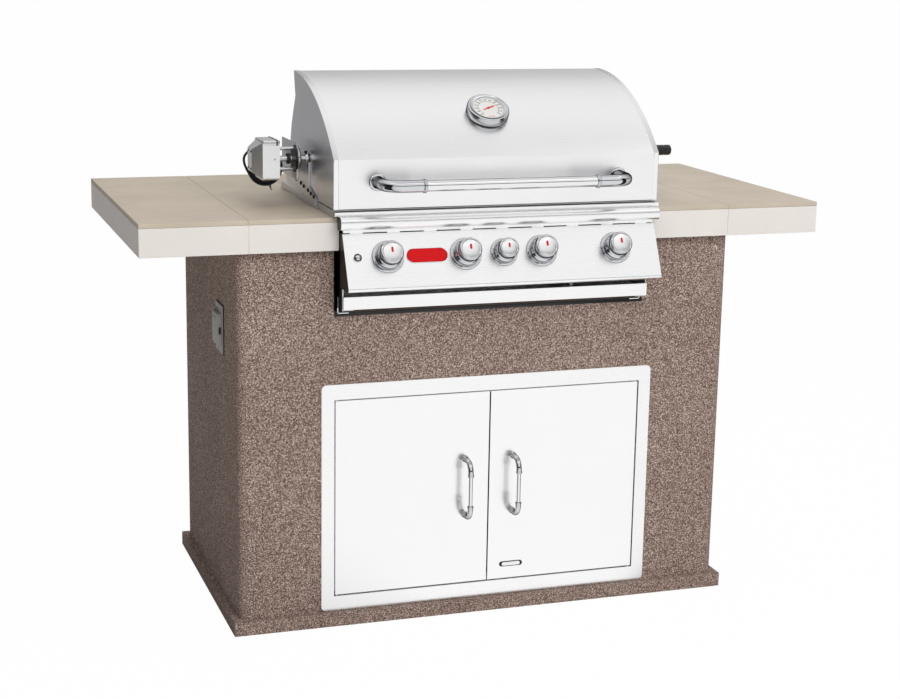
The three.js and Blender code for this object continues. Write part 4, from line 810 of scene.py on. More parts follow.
# Sub-assemblies
@dataclass
class Assembly:
    """What all the sub-assemblies share: the frame's nodes, and how a piece is fastened."""

    nodes: dict

    def fasten(
        self,
        piece: Piece,
        finish: Finish,
        body: str = "island",
        stands_for: tuple[str, ...] = (),
    ) -> Piece:
        """Give a piece its finish, let it move with a body, and report it.

        Args:
            piece: the new piece.
            finish: its material.
            body: the body that it rides on.
            stands_for: the nodes that it replaces.

        Returns:
            The piece.
        """
        piece.data.materials.clear()
        piece.data.materials.append(finish.material())
        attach(piece, body)
        if stands_for:
            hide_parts(*stands_for)
        size = len(piece.data.vertices)
        log.info("%s: %d vertices, %s, on %s", piece.name, size, finish.name, body)
        return piece

    def refine(
        self,
        node: str,
        finish: Finish,
        edge: float = 1.0 * MM,
        body: str = "island",
        segments: int = 2,
    ) -> Piece:
        """Replace a node by a merged copy of its mesh, with rounded edges and smooth shading.

        Args:
            node: the node.
            finish: the copy's material.
            edge: width of the rounding along each edge.
            body: the body that it rides on.
            segments: how many faces the rounding has.

        Returns:
            The copy.
        """
        mesh = self.nodes[node].data.copy()
        work = bmesh.new()
        work.from_mesh(mesh)
        bmesh.ops.remove_doubles(work, verts=work.verts, dist=0.01 * MM)
        bmesh.ops.dissolve_limit(
            work, angle_limit=math.radians(0.4), verts=work.verts, edges=work.edges
        )
        for face in work.faces:
            face.smooth = True
        work.to_mesh(mesh)
        work.free()
        mesh.name = node + "_finished"
        made = linked(mesh.name, mesh)
        soften = made.modifiers.new("rounded edges", "BEVEL")
        soften.width = edge
        soften.segments = segments
        soften.limit_method = "ANGLE"
        soften.angle_limit = math.radians(30)
        even = made.modifiers.new("flat faces stay flat", "WEIGHTED_NORMAL")
        even.weight = 100
        return self.fasten(made, finish, body, (node,))

    def shade_sideways_faces(
        self, piece: Piece, finish: Finish, out: float, below: float = COUNTER_TOP
    ) -> None:
        """Give a darker second finish to the faces that look sideways and lie far enough out:
        painted shade on the sides.

        Args:
            piece: the finished piece.
            finish: the other material.
            out: least distance of such a face from the middle.
            below: the height under which such a face lies.
        """
        mesh = piece.data
        mesh.materials.append(finish.material())
        count = len(mesh.polygons)
        normals, middles = np.zeros((count, 3), np.float32), np.zeros((count, 3), np.float32)
        mesh.polygons.foreach_get("normal", normals.ravel())
        mesh.polygons.foreach_get("center", middles.ravel())
        outside = (np.abs(middles[:, 0]) > out) & (middles[:, 2] < below)
        chosen = outside & (np.abs(normals[:, 0]) > SIDEWAYS_SHARE)
        mesh.polygons.foreach_set("material_index", chosen.astype(np.int32))

    def turned(
        self,
        name: str,
        profile: list,
        foot: Point,
        axis: Point,
        finish: Finish,
        body: str = "island",
        stands_for: tuple[str, ...] = (),
        steps: int = 40,
        crease: float = 40.0,
    ) -> Piece:
        """Add a turned piece, whose profile is given in millimetres.

        Args:
            name: the piece's name.
            profile: pairs of radius and height. It starts and ends on the axis, or closes.
            foot: the point where the height is nothing.
            axis: the direction in which the height grows.
            finish: its material.
            body: the body that it rides on.
            stands_for: the nodes that it replaces.
            steps: how many angles.
            crease: edges that turn by more than this many degrees stay sharp.

        Returns:
            The piece.
        """
        outline = [(radius * MM, height * MM) for radius, height in profile]
        made = revolved(name, outline, foot, axis, steps, crease)
        return self.fasten(made, finish, body, stands_for)

    def raised(
        self,
        name: str,
        outline: np.ndarray,
        layers: list,
        foot: Point,
        finish: Finish,
        body: str = "island",
        right: Point = RIGHT,
        up: Point = UP,
    ) -> Piece:
        """Add a flat piece that is built up in layers, which are given in millimetres.

        Args:
            name: the piece's name.
            outline: points (u, v) against the clock.
            layers: pairs of inset and height, from the back to the face.
            foot: the middle of the outline.
            finish: its material.
            body: the body that it rides on.
            right: direction of u.
            up: direction of v.

        Returns:
            The piece.
        """
        sizes = [(inset * MM, height * MM) for inset, height in layers]
        return self.fasten(layered(name, outline, sizes, foot, right, up), finish, body)

    def screw(
        self, name: str, place: Point, out: Point, radius: float, finish: Finish
    ) -> Piece:
        """Add a screw's domed head with a round socket, whose profile is shares of its radius.

        Args:
            name: the piece's name.
            place: the point on the surface under the head's middle.
            out: the direction in which the head stands.
            radius: of the head.
            finish: its material.

        Returns:
            The screw.
        """
        head_shares = [
            (0, -0.4),
            (0.9, -0.4),
            (1, 0),
            (0.96, 0.25),
            (0.8, 0.48),
            (0.5, 0.6),
            (0.42, 0.6),
            (0.36, 0.3),
            (0, 0.3),
        ]
        profile = [(radius * across, radius * height) for across, height in head_shares]
        return self.fasten(revolved(name, profile, place, out, 24), finish)


@dataclass(frozen=True)
class Viewpoint:
    """The photograph's camera, as solved from the edges of the counter, base and doors."""

    place: Point = (-1.43052, FRONT - 3.92301, 1.61132)
    azimuth: float = -0.3259995
    elevation: float = 0.2253986
    roll: float = 0.0170024
    focal_pixels: float = 1790.44
    reach: float = 200.0

    def create(self) -> None:
        """Make the camera and give it to the scene."""
        back = Vector(
            (
                math.sin(self.azimuth) * math.cos(self.elevation),
                -math.cos(self.azimuth) * math.cos(self.elevation),
                math.sin(self.elevation),
            )
        )
        level = Vector(UP).cross(back).normalized()
        upright = back.cross(level)
        right = math.cos(self.roll) * level + math.sin(self.roll) * upright
        up = -math.sin(self.roll) * level + math.cos(self.roll) * upright
        lens = bpy.data.cameras.new("camera")
        lens.sensor_width = SENSOR
        lens.lens = self.focal_pixels / PIXELS_ACROSS * SENSOR
        lens.clip_end = self.reach
        camera = linked("camera", lens)
        turn = Matrix((right, up, back)).transposed().to_4x4()
        camera.matrix_world = Matrix.Translation(self.place) @ turn
        bpy.context.scene.camera = camera


@dataclass(frozen=True)
class Studio:
    """Pale floor, soft lamps and a world that polished metal can mirror.

    bearings, front, back and strip are stops of grey: by degrees round the object, and by height
    in the world, where 0 is level and 1 is straight up.
    """

    floor_radius: float = 60.0
    floor_depth: float = 100 * MM
    floor_drop: float = 0.5 * MM
    base_size: tuple[float, float] = (1.22, 0.655)
    world_level: float = 0.62
    floor_white: float = 0.985
    left_share: float = 0.08
    bearings: tuple = (
        (-180, "#d0d0d0"),
        (-172, "#c8c8c8"),
        (-164, "#a0a0a0"),
        (-120, "#a0a0a0"),
        (-100, "#5a5a5a"),
        (-84, "#2c2c2c"),
        (-56, "#1c1c1c"),
        (-48, "#e8e8e8"),
        (-14, WHITE),
        (46, WHITE),
        (52, "#1c1c1c"),
        (70, "#1c1c1c"),
        (76, "#e6e6e6"),
        (120, WHITE),
        (180, "#d0d0d0"),
    )
    front: tuple = (
        (0.0, WHITE),
        (0.12, "#f0f0f0"),
        (0.145, "#17181a"),
        (0.28, "#17181a"),
        (0.33, "#f0f0f0"),
        (0.5, "#fcfcfc"),
        (0.8, "#f4f4f4"),
        (0.88, "#cccccc"),
        (1.0, "#e6e6e6"),
    )
    back: tuple = (
        (0.0, "#cfcfcf"),
        (0.5, "#d8d8d8"),
        (0.7, "#ececec"),
        (0.94, "#f8f8f8"),
        (1.0, "#f4f4f4"),
    )
    strip: tuple = ((0.79, BLACK), (0.81, WHITE), (0.85, WHITE), (0.87, BLACK))
    lamps: tuple = (
        ("key", (0.3, -3.8, 3.0), 2.4, 86),
        ("top", (0.2, 0.6, 3.6), 2.6, 24),
    )
    aim: Point = (0, 0, 0.6)

    def flags(self, tree: Tree, way: Socket) -> Node:
        """Return the black flags that stand round the object, as metal mirrors them.

        The result is 1 where the studio is open and near 0 behind a flag. It depends on the
        bearing alone, which is 0 straight ahead in front and grows to the right.

        Args:
            tree: the node tree of the floor or of the world.
            way: a direction, or a point on the floor.

        Returns:
            The node with that share.
        """
        parts = add_node(tree, "ShaderNodeSeparateXYZ", links={0: way})
        ahead = add_node(
            tree, "ShaderNodeMath", {0: 0.0}, {1: parts.outputs["Y"]}, operation="SUBTRACT"
        )
        bearing = add_node(
            tree, "ShaderNodeMath", links={0: parts.outputs["X"], 1: ahead}, operation="ARCTAN2"
        )
        circle = {"From Min": -math.pi, "From Max": math.pi}
        turn = add_node(tree, "ShaderNodeMapRange", circle, {"Value": bearing})
        return ramp(tree, turn, [(0.5 + degrees / 360, grey) for degrees, grey in self.bearings])

    def beyond_base(self, tree: Tree, place: Socket) -> Node:
        """Return 1 on the open floor and 0 inside the base, where the floor lies in the dark.

        Args:
            tree: the floor's node tree.
            place: a point on the floor.

        Returns:
            The node with that value.
        """
        middle = (0.0, FRONT + self.base_size[1] / 2, 0.0)
        shifted = add_node(
            tree, "ShaderNodeVectorMath", {1: middle}, {0: place}, operation="SUBTRACT"
        )
        parts = add_node(tree, "ShaderNodeSeparateXYZ", links={0: shifted})
        beyond = []
        for axis, size in zip("XY", self.base_size):
            away = add_node(
                tree, "ShaderNodeMath", links={0: parts.outputs[axis]}, operation="ABSOLUTE"
            )
            beyond.append(
                add_node(
                    tree, "ShaderNodeMath", {1: size / 2}, {0: away}, operation="GREATER_THAN"
                )
            )
        return add_node(
            tree, "ShaderNodeMath", links={0: beyond[0], 1: beyond[1]}, operation="MAXIMUM"
        )

    def floor(self) -> None:
        """Lay the floor: a wide pale disc that looks white and keeps the object's shadow."""
        drop = self.floor_drop
        wide, deep = self.floor_radius, self.floor_depth
        profile = [(0, -drop), (wide, -drop), (wide, -deep), (0, -deep)]
        disc = revolved("floor", profile, (0, 0, 0), UP, 96)
        made = bpy.data.materials.new("Pale studio floor")
        made.use_nodes = True
        tree = made.node_tree
        tree.nodes.clear()
        matt = add_node(
            tree, "ShaderNodeBsdfDiffuse", {"Color": linear("#f4f4f4"), "Roughness": 0.5}
        )
        rays = add_node(tree, "ShaderNodeLightPath").outputs
        place = add_node(tree, "ShaderNodeTexCoord").outputs["Object"]
        tone = add_node(
            tree,
            "ShaderNodeMix",
            {6: linear(WHITE)},
            {0: rays["Is Glossy Ray"], 7: self.flags(tree, place)},
            data_type="RGBA",
        )
        white = add_node(tree, "ShaderNodeEmission", links={"Color": tone})
        seen = add_node(
            tree,
            "ShaderNodeMath",
            links={0: rays["Is Camera Ray"], 1: rays["Is Glossy Ray"]},
            operation="MAXIMUM",
        )
        open_ = add_node(
            tree, "ShaderNodeMath", {1: self.floor_white}, {0: seen}, operation="MULTIPLY"
        )
        share = add_node(
            tree,
            "ShaderNodeMath",
            links={0: open_, 1: self.beyond_base(tree, place)},
            operation="MULTIPLY",
        )
        mix = add_node(tree, "ShaderNodeMixShader", links={0: share, 1: matt, 2: white})
        add_node(tree, "ShaderNodeOutputMaterial", links={"Surface": mix})
        disc.data.materials.append(made)

    def mirrored(self, tree: Tree, way: Socket, height: Socket, behind: Node) -> Node:
        """Return what metal mirrors of the studio.

        It is a thin dark horizon and the black flags, which draw the lines in the chrome, a
        bright front and ceiling with a lamp strip, and a duller back.

        Args:
            tree: the world's node tree.
            way: the direction.
            height: its upward part.
            behind: 0 in front of the object and 1 behind it.

        Returns:
            The node with that grey.
        """
        bands = add_node(
            tree,
            "ShaderNodeMix",
            links={0: behind, 6: ramp(tree, height, self.front), 7: ramp(tree, height, self.back)},
            data_type="RGBA",
        )
        low = {"From Min": 0.4, "From Max": 0.65, "To Min": 1.0, "To Max": 0.0}
        level = add_node(tree, "ShaderNodeMapRange", low, {"Value": height})
        flagged = add_node(
            tree,
            "ShaderNodeMix",
            links={0: level, 6: bands, 7: self.flags(tree, way)},
            data_type="RGBA",
            blend_type="MULTIPLY",
        )
        fore = add_node(tree, "ShaderNodeMath", {0: 1.0}, {1: behind}, operation="SUBTRACT")
        lit = add_node(
            tree,
            "ShaderNodeMath",
            links={0: ramp(tree, height, self.strip), 1: fore},
            operation="MULTIPLY",
        )
        return add_node(
            tree,
            "ShaderNodeMix",
            {7: linear(WHITE)},
            {0: lit, 6: flagged},
            data_type="RGBA",
            blend_type="ADD",
        )

    def world(self) -> None:
        """Set the world: white to the camera, level to matt faces, banded to metal."""
        world = bpy.data.worlds.new("studio")
        bpy.context.scene.world = world
        world.use_nodes = True
        tree = world.node_tree
        tree.nodes.clear()
        way = add_node(tree, "ShaderNodeTexCoord").outputs["Generated"]
        parts = add_node(tree, "ShaderNodeSeparateXYZ", links={0: way}).outputs
        edge = {"From Min": -0.2, "From Max": 0.3}
        behind = add_node(tree, "ShaderNodeMapRange", edge, {"Value": parts["Y"]})
        fall = {
            "From Min": -0.8,
            "From Max": 0.1,
            "To Min": self.world_level * self.left_share,
            "To Max": self.world_level,
        }
        shade = add_node(tree, "ShaderNodeMapRange", fall, {"Value": parts["X"]})
        rays = add_node(tree, "ShaderNodeLightPath").outputs
        banded = self.mirrored(tree, way, parts["Z"], behind)
        level = add_node(
            tree,
            "ShaderNodeMix",
            links={0: rays["Is Glossy Ray"], 6: shade, 7: banded},
            data_type="RGBA",
        )
        seen = add_node(
            tree,
            "ShaderNodeMix",
            {7: linear(WHITE)},
            {0: rays["Is Camera Ray"], 6: level},
            data_type="RGBA",
        )
        light = add_node(tree, "ShaderNodeBackground", links={"Color": seen})
        add_node(tree, "ShaderNodeOutputWorld", links={"Surface": light})

    def lamp(self, name: str, place: Point, size: float, power: float) -> None:
        """Hang one square soft lamp that faces the object.

        Args:
            name: its name.
            place: its middle.
            size: length of its side.
            power: in watts.
        """
        light = bpy.data.lights.new(name, "AREA")
        light.size = size
        light.energy = power
        lamp = linked(name, light)
        lamp.location = place
        lamp.visible_glossy = False
        lamp.rotation_mode = "QUATERNION"
        lamp.rotation_quaternion = (Vector(self.aim) - Vector(place)).to_track_quat("-Z", "Y")

    def build(self) -> None:
        """Set up the floor, the world and the lamps."""
        self.floor()
        self.world()
        for lamp in self.lamps:
            self.lamp(*lamp)


@dataclass
class MotorCord(Assembly):
    """The spit motor's lead: out of its relief, wound in a tied coil, and ending in its plug.

    It repeats the route that the solid model gives it.
    """

    radius: float = 3.0 * MM
    loop: float = 41.0 * MM
    pitch: float = 6.9 * MM
    turns: float = 4.5
    steps: int = 163
    middle: tuple[float, float] = (-0.4885, 1.070)
    start: float = 7 / 6 * math.pi
    gland: tuple[float, float] = (-0.512, 1.122)
    front: float = FRONT + 0.2623
    bend: float = 15.0 * MM
    bulge: float = 32.0 * MM
    relief: float = 24.0 * MM
    relief_step: float = 1.5 * MM
    relief_shares: tuple[float, float] = (1.75, 1.12)
    relief_rings: int = 5
    relief_ring_share: float = 0.07
    tie_angle: float = 4.957
    tie_radius: float = 1.3 * MM
    tie_corner: float = 5 * MM
    tie_gap_share: float = 4.2
    tie_fall: Point = (2 * MM, -1 * MM, -8 * MM)
    tie_curl: Point = (2 * MM, -2 * MM, 1 * MM)
    prong_size: tuple[float, float, float] = (1.6 * MM, 6.2 * MM, 0.6 * MM)
    prong_spread: float = 6 * MM
    prong_foot: float = 24 * MM

    def coil(self, turns: np.ndarray) -> np.ndarray:
        """Points on the coil, which spirals in, climbs a layer and spirals out again.

        The radius is loop - pitch * (half - |turns - half|), and the climb is a smooth step of
        one pitch over half a turn at the middle.

        Args:
            turns: how far round, in turns.

        Returns:
            Points in the object's frame.
        """
        half = self.turns / 2
        radius = self.loop - self.pitch * (half - np.abs(turns - half))
        share = np.clip((turns - half + 0.25) / 0.5, 0, 1)
        climb = share * share * (3 - 2 * share)
        angle = self.start + 2 * np.pi * turns
        return np.stack(
            [
                self.middle[0] + radius * np.cos(angle),
                self.front + self.pitch * climb,
                self.middle[1] + radius * np.sin(angle),
            ],
            axis=1,
        )

    def route(self) -> np.ndarray:
        """The lead's middle line: relief, quarter bend, swing, coil, quarter bend and plug.

        The bends and the swing are cubic curves that leave and meet their neighbours in line.

        Returns:
            Points in the object's frame.
        """
        deep = np.array(BACK, float)
        first, last = self.coil(np.array([0.0, self.turns]))
        end = self.start + 2 * np.pi * self.turns
        run_in = np.array([-math.sin(self.start), 0, math.cos(self.start)])
        run_out = np.array([-math.sin(end), 0, math.cos(end)])
        lean = np.array([math.cos(self.start), 0, math.sin(self.start)])
        hold = 4 / 3 * (math.sqrt(2) - 1) * self.bend
        exit_ = np.array([self.gland[0], self.front - self.bend - 2 * self.radius, self.gland[1]])
        turn = exit_ + deep * 2 * self.radius
        away = turn + deep * self.bend + lean * self.bend
        lead = cubic([turn, turn + deep * hold, away - lean * hold, away], 10)
        swing = cubic([away, away + lean * self.bulge, first - run_in * self.bulge, first], 20)
        wound = self.coil(np.linspace(0, self.turns, self.steps))
        tail = last + run_out * self.bend + deep * self.bend
        out = cubic([last, last + run_out * hold, tail - deep * hold, tail], 10)
        tip = tail + deep * 2 * self.radius
        return np.concatenate([exit_[None], lead, swing[1:], wound[1:], out[1:], tip[None]])

    def tie(self) -> Piece:
        """The twist tie: a wire loop round the coil's section, with a short hanging tail.

        The tail is a parabola: foot + drop * fall + drop squared * curl.

        Returns:
            One object that holds both.
        """
        outward = np.array([math.cos(self.tie_angle), 0, math.sin(self.tie_angle)])
        along = np.array([-math.sin(self.tie_angle), 0, math.cos(self.tie_angle)])
        hub = np.array([self.middle[0], self.front + self.pitch / 2, self.middle[1]])
        inner = self.loop - self.pitch * self.turns / 2
        gap = self.tie_gap_share * self.radius
        loop = rounded(self.loop - inner + gap, self.pitch + gap, self.tie_corner)
        loop = np.concatenate([loop, loop[:1]])
        path = hub + (loop[:, :1] + (self.loop + inner) / 2) * outward + loop[:, 1:] * BACK
        foot = hub + (self.loop + 2 * self.radius) * outward
        drop = np.linspace(0, 1, 8)[:, None]
        tail = foot + drop * self.tie_fall + drop * drop * self.tie_curl
        return joined(
            "cord_tie",
            [
                swept("tie_loop", path, self.tie_radius, along, 10),
                swept("tie_tail", tail, self.tie_radius, (0, 1, 0.2), 10),
            ],
        )

    def prongs(self, tip: np.ndarray) -> Piece:
        """The plug's two flat blades.

        Args:
            tip: the middle of the plug's back.

        Returns:
            One object that holds both.
        """
        blades = []
        for side in (-1, 1):
            foot = (tip[0] + side * self.prong_spread, tip[1] + self.prong_foot, tip[2])
            layers = [(0, 0), (0, 16 * MM), (0.5 * MM, 17 * MM)]
            blades.append(layered("prong", rounded(*self.prong_size, 3), layers, foot, LEFT, UP))
        return joined("plug_prongs", blades)

    def build(self) -> None:
        path = self.route()
        lead = swept("motor_lead", path, self.radius, (1, 1, 0), 12)
        self.fasten(lead, BLACK_PVC, stands_for=("motor_cord",))
        tie = self.fasten(self.tie(), BLACK_NYLON)
        near = sampled(path, self.relief_step)[: int(self.relief / self.relief_step)]
        taper = np.linspace(*self.relief_shares, len(near)) * self.radius
        wave = np.sin(np.linspace(0, 2 * np.pi * self.relief_rings, len(near)))
        ridges = 1 + self.relief_ring_share * np.sign(wave)
        self.fasten(swept("lead_relief", near, taper * ridges, (1, 1, 0), 16), BLACK_PVC)
        tip = path[-1] + [0, 0.3 * MM, 0]
        shell = [(0, 0), (4.4, 0), (5.2, 1), (5.4, 7), (8.2, 11), (10, 13.5), (10, 24.6), (9, 26)]
        shell.append((0, 26))
        plug = self.turned("plug_body", shell, tip, BACK, BLACK_PVC, stands_for=("motor_plug",))
        prongs = self.fasten(self.prongs(tip), CHROME)


@dataclass
class Base(Assembly):
    """The stuccoed base with the inner frames that stiffen it."""

    wall_edge: float = 0.4 * MM
    tube_edge: float = 2 * MM

    def build(self) -> None:
        """Dress the walls in stucco and the frames in tube."""
        for side in ("front", "back", "left", "right"):
            self.refine("stucco_wall_" + side, STUCCO, self.wall_edge)
        for side, _ in SIDES:
            for tube in ("side_frame_", "support_rail_"):
                self.refine(tube + side, TUBE_STEEL, self.tube_edge)


@dataclass
class Counter(Assembly):
    """The tiled counter on its cement board."""

    board_edge: float = 0.4 * MM
    tile_edge: float = 1.3 * MM
    grout_drop: float = 0.6 * MM
    grout_bite: float = 0.2 * MM
    grout_short: float = 2 * MM

    def grout(self, left: str, right: str) -> None:
        """Fill the joint between two top tiles to just below their faces.

        Args:
            left: the left-hand tile.
            right: the right-hand tile.
        """
        low, high = (np.array(v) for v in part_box("top_tile_" + left))
        start, end = (np.array(v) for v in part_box("top_tile_" + right))
        near, far = max(low[1], start[1]), min(high[1], end[1])
        width = start[0] - high[0] + self.grout_bite
        made = layered(
            "grout_" + left,
            rounded(width, far - near - self.grout_short, self.grout_bite, 2),
            [(0, low[2] - high[2]), (0, -self.grout_drop)],
            ((high[0] + start[0]) / 2, (near + far) / 2, high[2]),
            RIGHT,
            BACK,
        )
        self.fasten(made, GROUT)

    def build(self) -> None:
        """Dress the board as cement, give each tile eased edges, and fill the joints."""
        self.refine("counter_deck", CEMENT, self.board_edge)
        for place in ("outer_left", "inner_left", "inner_right", "outer_right", "back"):
            self.refine("top_tile_" + place, TOP_TILE, self.tile_edge, segments=3)
        order = ("outer_left", "inner_left", "back", "inner_right", "outer_right")
        for left, right in zip(order, order[1:]):
            self.grout(left, right)
        for place in ("front_left", "front_right", "left", "right", "back"):
            self.refine("edge_tile_" + place, EDGE_TILE, self.tile_edge, segments=3)


@dataclass
class BarHandle:
    """A handle of two bent elbows and a slimmer bar between their collars."""

    middle: Point = (0, 0, 0)
    out: Point = AHEAD
    along: Point = UP
    span: float = 140 * MM
    reach: float = 44 * MM
    bend: float = 26 * MM
    elbow_radius: float = 6.5 * MM
    bar_radius: float = 4.6 * MM
    bar_length: float = 74 * MM
    collar_radius: float = 7.6 * MM
    collar_length: float = 4 * MM
    base_radius: float = 8.6 * MM
    base_depth: float = 1.6 * MM

    def frame(self) -> list:
        """The middle, the outward direction and the direction along the bar, as arrays."""
        return [np.array(v, float) for v in (self.middle, self.out, self.along)]

    def elbow(self, name: str, sign: int) -> Piece:
        """One elbow: a flat base, a bent tube and a ribbed collar.

        The tube is a circle carried round a quarter bend. It swells by a tenth where it meets
        the base.

        Args:
            name: the object's name.
            sign: which end, -1 or 1 along the handle.

        Returns:
            The elbow.
        """
        middle, out, along = self.frame()
        foot = middle + sign * self.span / 2 * along
        end = middle + self.reach * out + sign * self.bar_length / 2 * along
        path = sampled(bent([foot, foot + self.reach * out, end], self.bend), self.bend / 12)
        fade = np.linalg.norm(path - foot, axis=1) / self.bend
        radius = self.elbow_radius * (1 + 0.1 * np.exp(-3 * fade))
        r, c, n = self.elbow_radius, self.collar_radius, self.collar_length
        b, d = self.base_radius, self.base_depth
        collar = [
            (0, -0.1 * n),
            (c * 0.94, -0.1 * n),
            (c, 0.1 * n),
            (c, 0.35 * n),
            (c * 0.94, 0.45 * n),
            (c * 0.94, 0.6 * n),
            (c, 0.7 * n),
            (c, n),
            (c * 0.93, 1.2 * n),
            (r * 0.96, 1.3 * n),
            (0, 1.3 * n),
        ]
        base = [(0, 0), (b, 0), (b, d * 0.5), (b * 0.93, d), (r * 1.05, d * 1.15), (0, d * 1.15)]
        return joined(
            name,
            [
                swept("bend", path, radius, np.cross(out, along), 32),
                revolved("collar", collar, end, sign * along, 40, 25),
                revolved("base", base, foot, out, 40),
            ],
        )

    def bar(self, name: str) -> Piece:
        """The straight bar, with its ends inside the collars.

        Args:
            name: the object's name.

        Returns:
            The bar.
        """
        middle, out, along = self.frame()
        half = self.bar_length / 2 + self.collar_length / 2
        line = middle + self.reach * out + np.linspace(-half, half, 9)[:, None] * along
        return swept(name, line, self.bar_radius, out, 36)


@dataclass
class AccessDoors(Assembly):
    """The pair of steel doors in their frame, with chrome pulls and a bare badge."""

    sheet_edge: float = 0.9 * MM
    face: float = FRONT - 2.3 * MM
    pull_from_middle: float = 61.5 * MM
    pull_height: float = 0.3192
    badge_place: tuple[float, float] = (0.0622, 0.1115)
    badge_lift: float = 0.5 * MM
    badge_size: tuple[float, float] = (60 * MM, 13 * MM)
    badge_field: tuple[float, float] = (48 * MM, 9.4 * MM)

    def door(self, side: str, sign: int) -> None:
        """Dress a door and add its pull.

        Args:
            side: "left" or "right".
            sign: -1 on the left and 1 on the right.
        """
        body = side + "_door"
        self.refine("door_" + side, STEEL_UPRIGHT, self.sheet_edge, body)
        pull = BarHandle((sign * self.pull_from_middle, self.face, self.pull_height))
        elbows = joined("pull_elbows_" + side, [pull.elbow("upper", 1), pull.elbow("lower", -1)])
        self.fasten(elbows, CHROME, body, ("door_handle_" + side,))
        self.fasten(pull.bar("pull_bar_" + side), CHROME_BAR, body)

    def badge(self) -> None:
        """A bare bright pill in a dark rim, low on the right door."""
        x, z = self.badge_place
        place = (x, self.face + self.badge_lift, z)
        rim = [(0, 0), (0, 1.2), (0.7, 1.8), (2, 1.8), (2.4, 1.3)]
        outline = stadium(*self.badge_size, 10)
        self.raised("door_badge", outline, rim, place, BLACK_STEEL, "right_door")
        plate = [(0, 0.6), (0, 1.7), (0.4, 2.1)]
        outline = stadium(*self.badge_field, 10)
        self.raised("door_badge_field", outline, plate, place, STEEL_BRIGHT, "right_door")

    def build(self) -> None:
        """Dress the frame and doors, and add the pulls and the badge."""
        self.refine("door_frame", STEEL, self.sheet_edge)
        for side, sign in SIDES:
            self.door(side, sign)
        self.badge()


@dataclass
class Outlet(Assembly):
    """The covered outlet in the left wall."""

    face: float = -0.6203
    middle: tuple[float, float] = (FRONT + 0.191, 0.703)
    plate_edge: float = 0.5 * MM
    cover_edge: float = 1.6 * MM
    screw_spacing: float = 100 * MM
    screw_radius: float = 3.2 * MM
    # The black rim round the plate is painted shadow along its edge.
    shadow_rim_size: tuple[float, float, float] = (82 * MM, 119 * MM, 3 * MM)
    shadow_rim_in: float = 4 * MM
    # The black tab on the cover is painted shade in its finger notch.
    notch_shade_size: tuple[float, float, float] = (5 * MM, 17 * MM, 1.5 * MM)
    notch_shade_place: Point = (4.6 * MM, -32.3 * MM, -2 * MM)
    rib_size: tuple[float, float, float] = (44 * MM, 58 * MM, 5 * MM)
    rib_out: float = 10.3 * MM

    def at(self, out: float = 0.0, y: float = 0.0, z: float = 0.0) -> Point:
        """A point out from the wall, behind and above the outlet's middle."""
        return (self.face - out, self.middle[0] + y, self.middle[1] + z)

    def build(self) -> None:
        """Dress the plate and cover, and add the screws, the cover's rib, a black rim round the
        plate that is painted shadow, and a black tab on the cover that is painted shade in its
        finger notch.
        """
        self.refine("outlet_plate", GREY_ABS, self.plate_edge, segments=3)
        lip = [(0, 0), (0, 1.5), (0.4, 1.9), (3, 1.9)]
        # A black rim just larger than the plate, set into the wall: painted shadow round the
        # plate's edge.
        outline, place = rounded(*self.shadow_rim_size), self.at(-self.shadow_rim_in)
        self.raised("outlet_shadow_rim", outline, lip, place, BLACK_NYLON, right=AHEAD)
        tab = [(0, 0), (0, 1.4), (0.5, 1.9)]
        # A black tab on the cover's side: painted shade in the finger notch.
        outline, place = rounded(*self.notch_shade_size), self.at(*self.notch_shade_place)
        self.raised("cover_notch_shade", outline, tab, place, BLACK_NYLON, "cover")
        self.refine("outlet_cover", GREY_ABS, self.cover_edge, "cover", segments=3)
        for name, sign in (("upper", 1), ("lower", -1)):
            place = self.at(z=sign * self.screw_spacing / 2)
            self.screw("outlet_screw_" + name, place, LEFT, self.screw_radius, CHROME)
        ridge = [(0, 0), (0, 0.8), (0.8, 1.3)]
        outline, place = rounded(*self.rib_size), self.at(self.rib_out)
        self.raised("cover_rib", outline, ridge, place, GREY_ABS, "cover", right=AHEAD)


